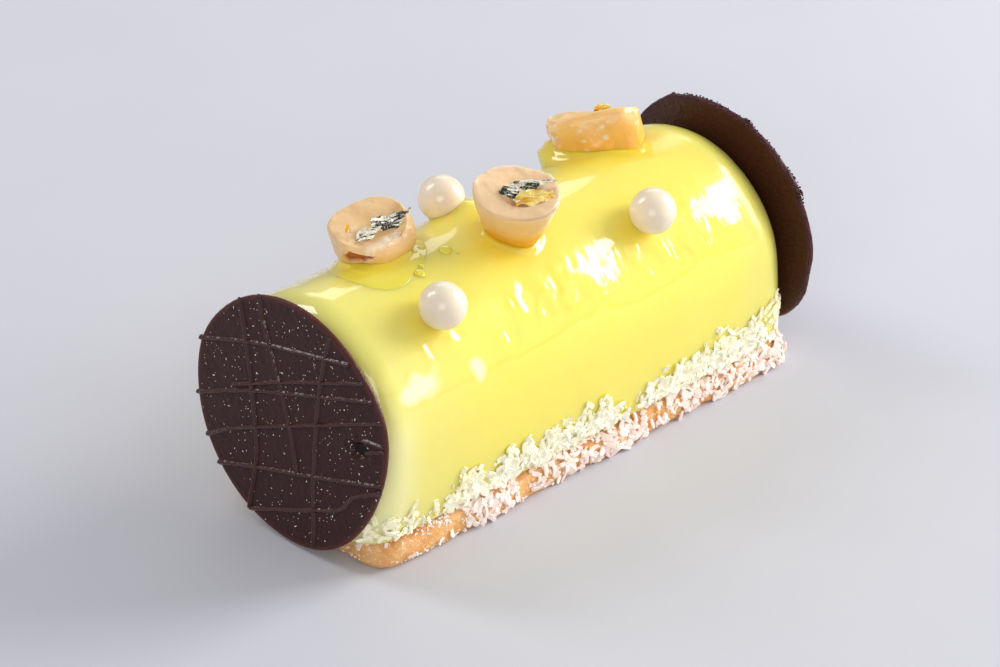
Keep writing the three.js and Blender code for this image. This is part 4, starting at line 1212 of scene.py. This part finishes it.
def make_nut(name, nut):
    around, along = 260, 180
    profile = nut_profile(nut, along)
    angle = np.linspace(0, 2 * math.pi, around, endpoint=False)
    across, up = nut_outline(nut, angle)
    wave = nut["wave"] * np.sin(2 * angle + nut["phase"])
    profile = np.repeat(profile[:, None, :], around, axis=1)
    if "round" in nut:
        soft = nut_profile({**nut, **nut["round"]}, along)[:, None, :]
        share = 0.5 + 0.5 * np.cos(angle - math.radians(nut["round"]["bearing"]))
        profile = profile + (soft - profile) * smoothstep(share, 0.15, 0.85)[None, :, None]
    rings = np.empty((along, around, 3))
    rings[..., 0] = profile[..., 0] * across * nut["length"] / 2
    rings[..., 1] = profile[..., 0] * up * nut["width"] / 2
    rings[..., 2] = nut["height"] * profile[..., 1] + profile[..., 2] * wave
    step = np.arange(along)[:, None] / along * np.ones((1, around))
    dish = nut_dish(name, rings[..., 0], rings[..., 1]) * smoothstep(step, *nut["dish"])
    rings[..., 2] -= dish
    normals = grid_normals(rings, True)
    middle = np.array([0, 0, nut["height"] * 0.4])
    if (normals * (rings - middle))[: along // 2].sum() < 0:
        normals = -normals
    seed = 80 + 3 * int(name[-1])
    uneven = nut["lumps"] * noise(rings, 4.2, seed)
    uneven = uneven + 0.10 * noise(rings, 1.7, seed + 1) + 0.03 * noise(rings, 0.7, seed + 2)
    height = rings[..., 2] / nut["height"]
    high = smoothstep(height + 0.12 * noise(rings, 3, seed + 3), 0.25, 1.05)
    # Where the painted shade of the hollow lies.
    hollow = smoothstep(dish, 0.3, 2.2)
    uneven, pale, crack = nut_marks(name, rings, angle, step, uneven, seed)
    rings = rings + normals * uneven[..., None]
    turned = rings @ turn_matrix(nut["turn"]).T + nut["place"]
    points, faces = closed_skin(turned)
    low, top = NUT_COLOURS[name]
    values = {"high": high, "hollow": hollow, "pale": pale, "crack": crack}
    values = {key: np.append(value.ravel(), [value[0, 0], value[-1, 0]]) for key, value in values.items()}
    piece = new_piece("candied_" + name, points, faces, nut_material(name + "_flesh", low, top), values)
    dress(piece, [name])


def make_pearls():
    material = pearl_material()
    angles = np.linspace(0, 2 * math.pi, 96, endpoint=False)
    rises = np.linspace(-math.pi / 2 + 0.02, math.pi / 2 - 0.02, 64)
    for name, place in PEARLS.items():
        ball = np.stack([
            np.cos(rises)[:, None] * np.cos(angles),
            np.cos(rises)[:, None] * np.sin(angles),
            np.sin(rises)[:, None] * np.ones_like(angles),
        ], -1)
        swell = PEARL_RADIUS + 0.05 * noise(ball * 4 + place, 3.0, 91)
        points, faces = closed_skin(ball * swell[..., None] + place)
        dress(new_piece("cream_" + name, points, faces, material), [name])


def leaf_rows(leaf):
    """The wavy sheet of a leaf, as in the part's source."""
    draw = draws(leaf["seed"])
    rows = []
    for i in range(leaf["along"]):
        u = i / (leaf["along"] - 1)
        belly = 0.28 + 0.72 * math.sin(math.pi * min(1, u * 0.86 + 0.1))
        half = leaf["width"] / 2 * belly * (0.8 + 0.4 * next(draw))
        shift = leaf["width"] * 0.22 * (next(draw) - 0.5)
        row = []
        for j in range(leaf["across"]):
            v = j / (leaf["across"] - 1) * 2 - 1
            z = leaf["wave"] * (math.sin(u * 11 + v * 1.7 + leaf["seed"]) * 0.5 + (next(draw) - 0.5) * 0.7)
            row.append(((u - 0.5) * leaf["length"], v * half + shift, z))
        rows.append(row)
    return np.array(rows)


def make_leaf(name, leaf, material):
    """A crumpled sheet of metal leaf lying on a nut."""
    rows = leaf_rows(leaf)
    lengthways, crossways = int(leaf["length"] * 14) + 8, int(leaf["width"] * 18) + 6
    fine = np.stack([smooth_line(rows[:, j], lengthways) for j in range(leaf["across"])], 1)
    fine = np.stack([smooth_line(row, crossways) for row in fine], 0)
    if "edges" in leaf:
        u = np.linspace(0, 1, len(fine))
        at, upper, lower = np.array(leaf["edges"]).T
        v = np.linspace(0, 1, fine.shape[1])
        fine[..., 1] = np.interp(u, at, lower)[:, None] * (1 - v) + np.interp(u, at, upper)[:, None] * v
    slanted = fine @ turn_matrix((0, 0, 14)).T
    long_fold = 1 - np.abs(noise(slanted, (3.2, 0.55, 1), leaf["seed"])) * 2
    small_fold = 1 - np.abs(noise(fine, (1.4, 0.28, 1), leaf["seed"] + 1)) * 2
    rag = noise(fine, 0.7, leaf["seed"] + 2)
    fine[..., 2] += leaf.get("crumple", 1) * (0.20 * long_fold + 0.08 * small_fold)
    fine[..., 1] += 0.22 * rag * np.linspace(-1, 1, fine.shape[1]) ** 4
    under = fine - [0, 0, LEAF_THICKNESS]
    rings = np.concatenate([fine, under[:, ::-1]], 1)
    nut = NUTS[leaf["nut"]]
    rings = rings @ turn_matrix(leaf["turn"]).T + leaf["at"]
    rings = rings @ turn_matrix(nut["turn"]).T + nut["place"]
    points, faces = closed_skin(rings)
    # Painted reflection: dark streaks and patches on the metal, darker towards one end, where it mirrors
    # dark surroundings.
    strands = noise(slanted, (1.1, 0.22, 1), leaf["seed"] + 3)
    shade = noise(fine, (2.4, 1.2, 1), leaf["seed"] + 4)
    painted_end_darkness = leaf.get("painted_dark_end", 0) * (0.35 - np.linspace(0, 1, len(fine)))[:, None]
    dark = smoothstep(0.8 * strands + 1.0 * shade + painted_end_darkness, -0.2, 0.3)
    dark = np.append(np.concatenate([dark, dark[:, ::-1]], 1).ravel(), [0, 0])
    piece = new_piece("foil_" + name, points, faces, material, {"painted_dark_reflection": dark}, smooth=False)
    dress(piece, [name])


def make_toppings():
    for name, nut in NUTS.items():
        make_nut(name, nut)
    make_pearls()
    # The dark colour of each foil is its painted reflection of dark surroundings.
    foils = {
        "silver": leaf_material("silver_foil", colour(0.98, 0.94, 0.78), colour(0.022, 0.018, 0.010)),
        "gold": leaf_material("gold_foil", colour(1.0, 0.84, 0.30), colour(0.88, 0.50, 0.05)),
    }
    for name, leaf in LEAVES.items():
        make_leaf(name, leaf, foils[leaf["metal"]])


# Stage

def make_camera():
    bearing, fall, roll = (math.radians(a) for a in (CAMERA_BEARING, CAMERA_FALL, CAMERA_ROLL))
    level_x, level_y = math.sin(bearing), math.cos(bearing)
    ahead = Vector((level_x * math.cos(fall), level_y * math.cos(fall), -math.sin(fall)))
    data = bpy.data.cameras.new("camera")
    data.lens = CAMERA_LENS
    data.sensor_width = 36.0
    data.clip_start, data.clip_end = 0.01, 20
    camera = bpy.data.objects.new("camera", data)
    camera.location = Vector((CAMERA_PLACE + NEAR_MIDDLE) * MM)
    camera.rotation_mode = "QUATERNION"
    level = ahead.to_track_quat("-Z", "Y")
    camera.rotation_quaternion = (Matrix.Rotation(-roll, 3, ahead) @ level.to_matrix()).to_quaternion()
    bpy.context.scene.collection.objects.link(camera)
    bpy.context.scene.camera = camera


def direction(bearing, rise):
    """Unit vector towards a bearing from -Y over +X, and a rise, in degrees."""
    a, e = math.radians(bearing), math.radians(rise)
    return Vector((math.sin(a) * math.cos(e), -math.cos(a) * math.cos(e), math.sin(e)))


def make_light(name, bearing, rise, distance, width, height, power, tint):
    data = bpy.data.lights.new(name, "AREA")
    data.shape = "RECTANGLE"
    data.size, data.size_y = width, height
    data.energy = power
    data.color = tint
    light = bpy.data.objects.new(name, data)
    aim = Vector((0, 0, 0.03))
    light.location = aim + direction(bearing, rise) * distance
    light.rotation_euler = (aim - light.location).to_track_quat("-Z", "Y").to_euler()
    bpy.context.scene.collection.objects.link(light)


def make_world():
    world = bpy.data.worlds.new("studio")
    world.use_nodes = True
    tree = world.node_tree
    shell = tree.nodes["Background"]
    shell.inputs["Color"].default_value = (0.96, 0.97, 1.0, 1)
    way = node(tree, "ShaderNodeTexCoord").outputs["Generated"]
    towards = direction(150, 60)
    product = node(tree, "ShaderNodeVectorMath", {0: way, 1: towards}, operation="DOT_PRODUCT")
    share = product.outputs["Value"]
    tree.links.new(between(tree, share, -1, 1, 0.41, 0.455), shell.inputs["Strength"])
    bpy.context.scene.world = world


def make_stage():
    bpy.context.scene.view_settings.view_transform = "Standard"
    make_world()
    corners = [(-2, -2, 0), (2, -2, 0), (2, 2, 0), (-2, 2, 0)]
    mesh = bpy.data.meshes.new("floor")
    mesh.from_pydata(corners, [], [[0, 1, 2, 3]])
    mesh.materials.append(floor_material())
    floor = bpy.data.objects.new("floor", mesh)
    bpy.context.scene.collection.objects.link(floor)
    for name, bearing, rise, distance, width, height, power, tint in LIGHTS:
        make_light(name, bearing, rise, distance, width, height, power, tint)


make_camera()
make_stage()
log_surface = make_glaze()
syrup = syrup_material()
make_pool(syrup)
make_bubbles(syrup)
base_surface = make_shortbread()
make_coconut(log_surface, base_surface)
make_sugar(*base_surface)
make_discs()
make_toppings()
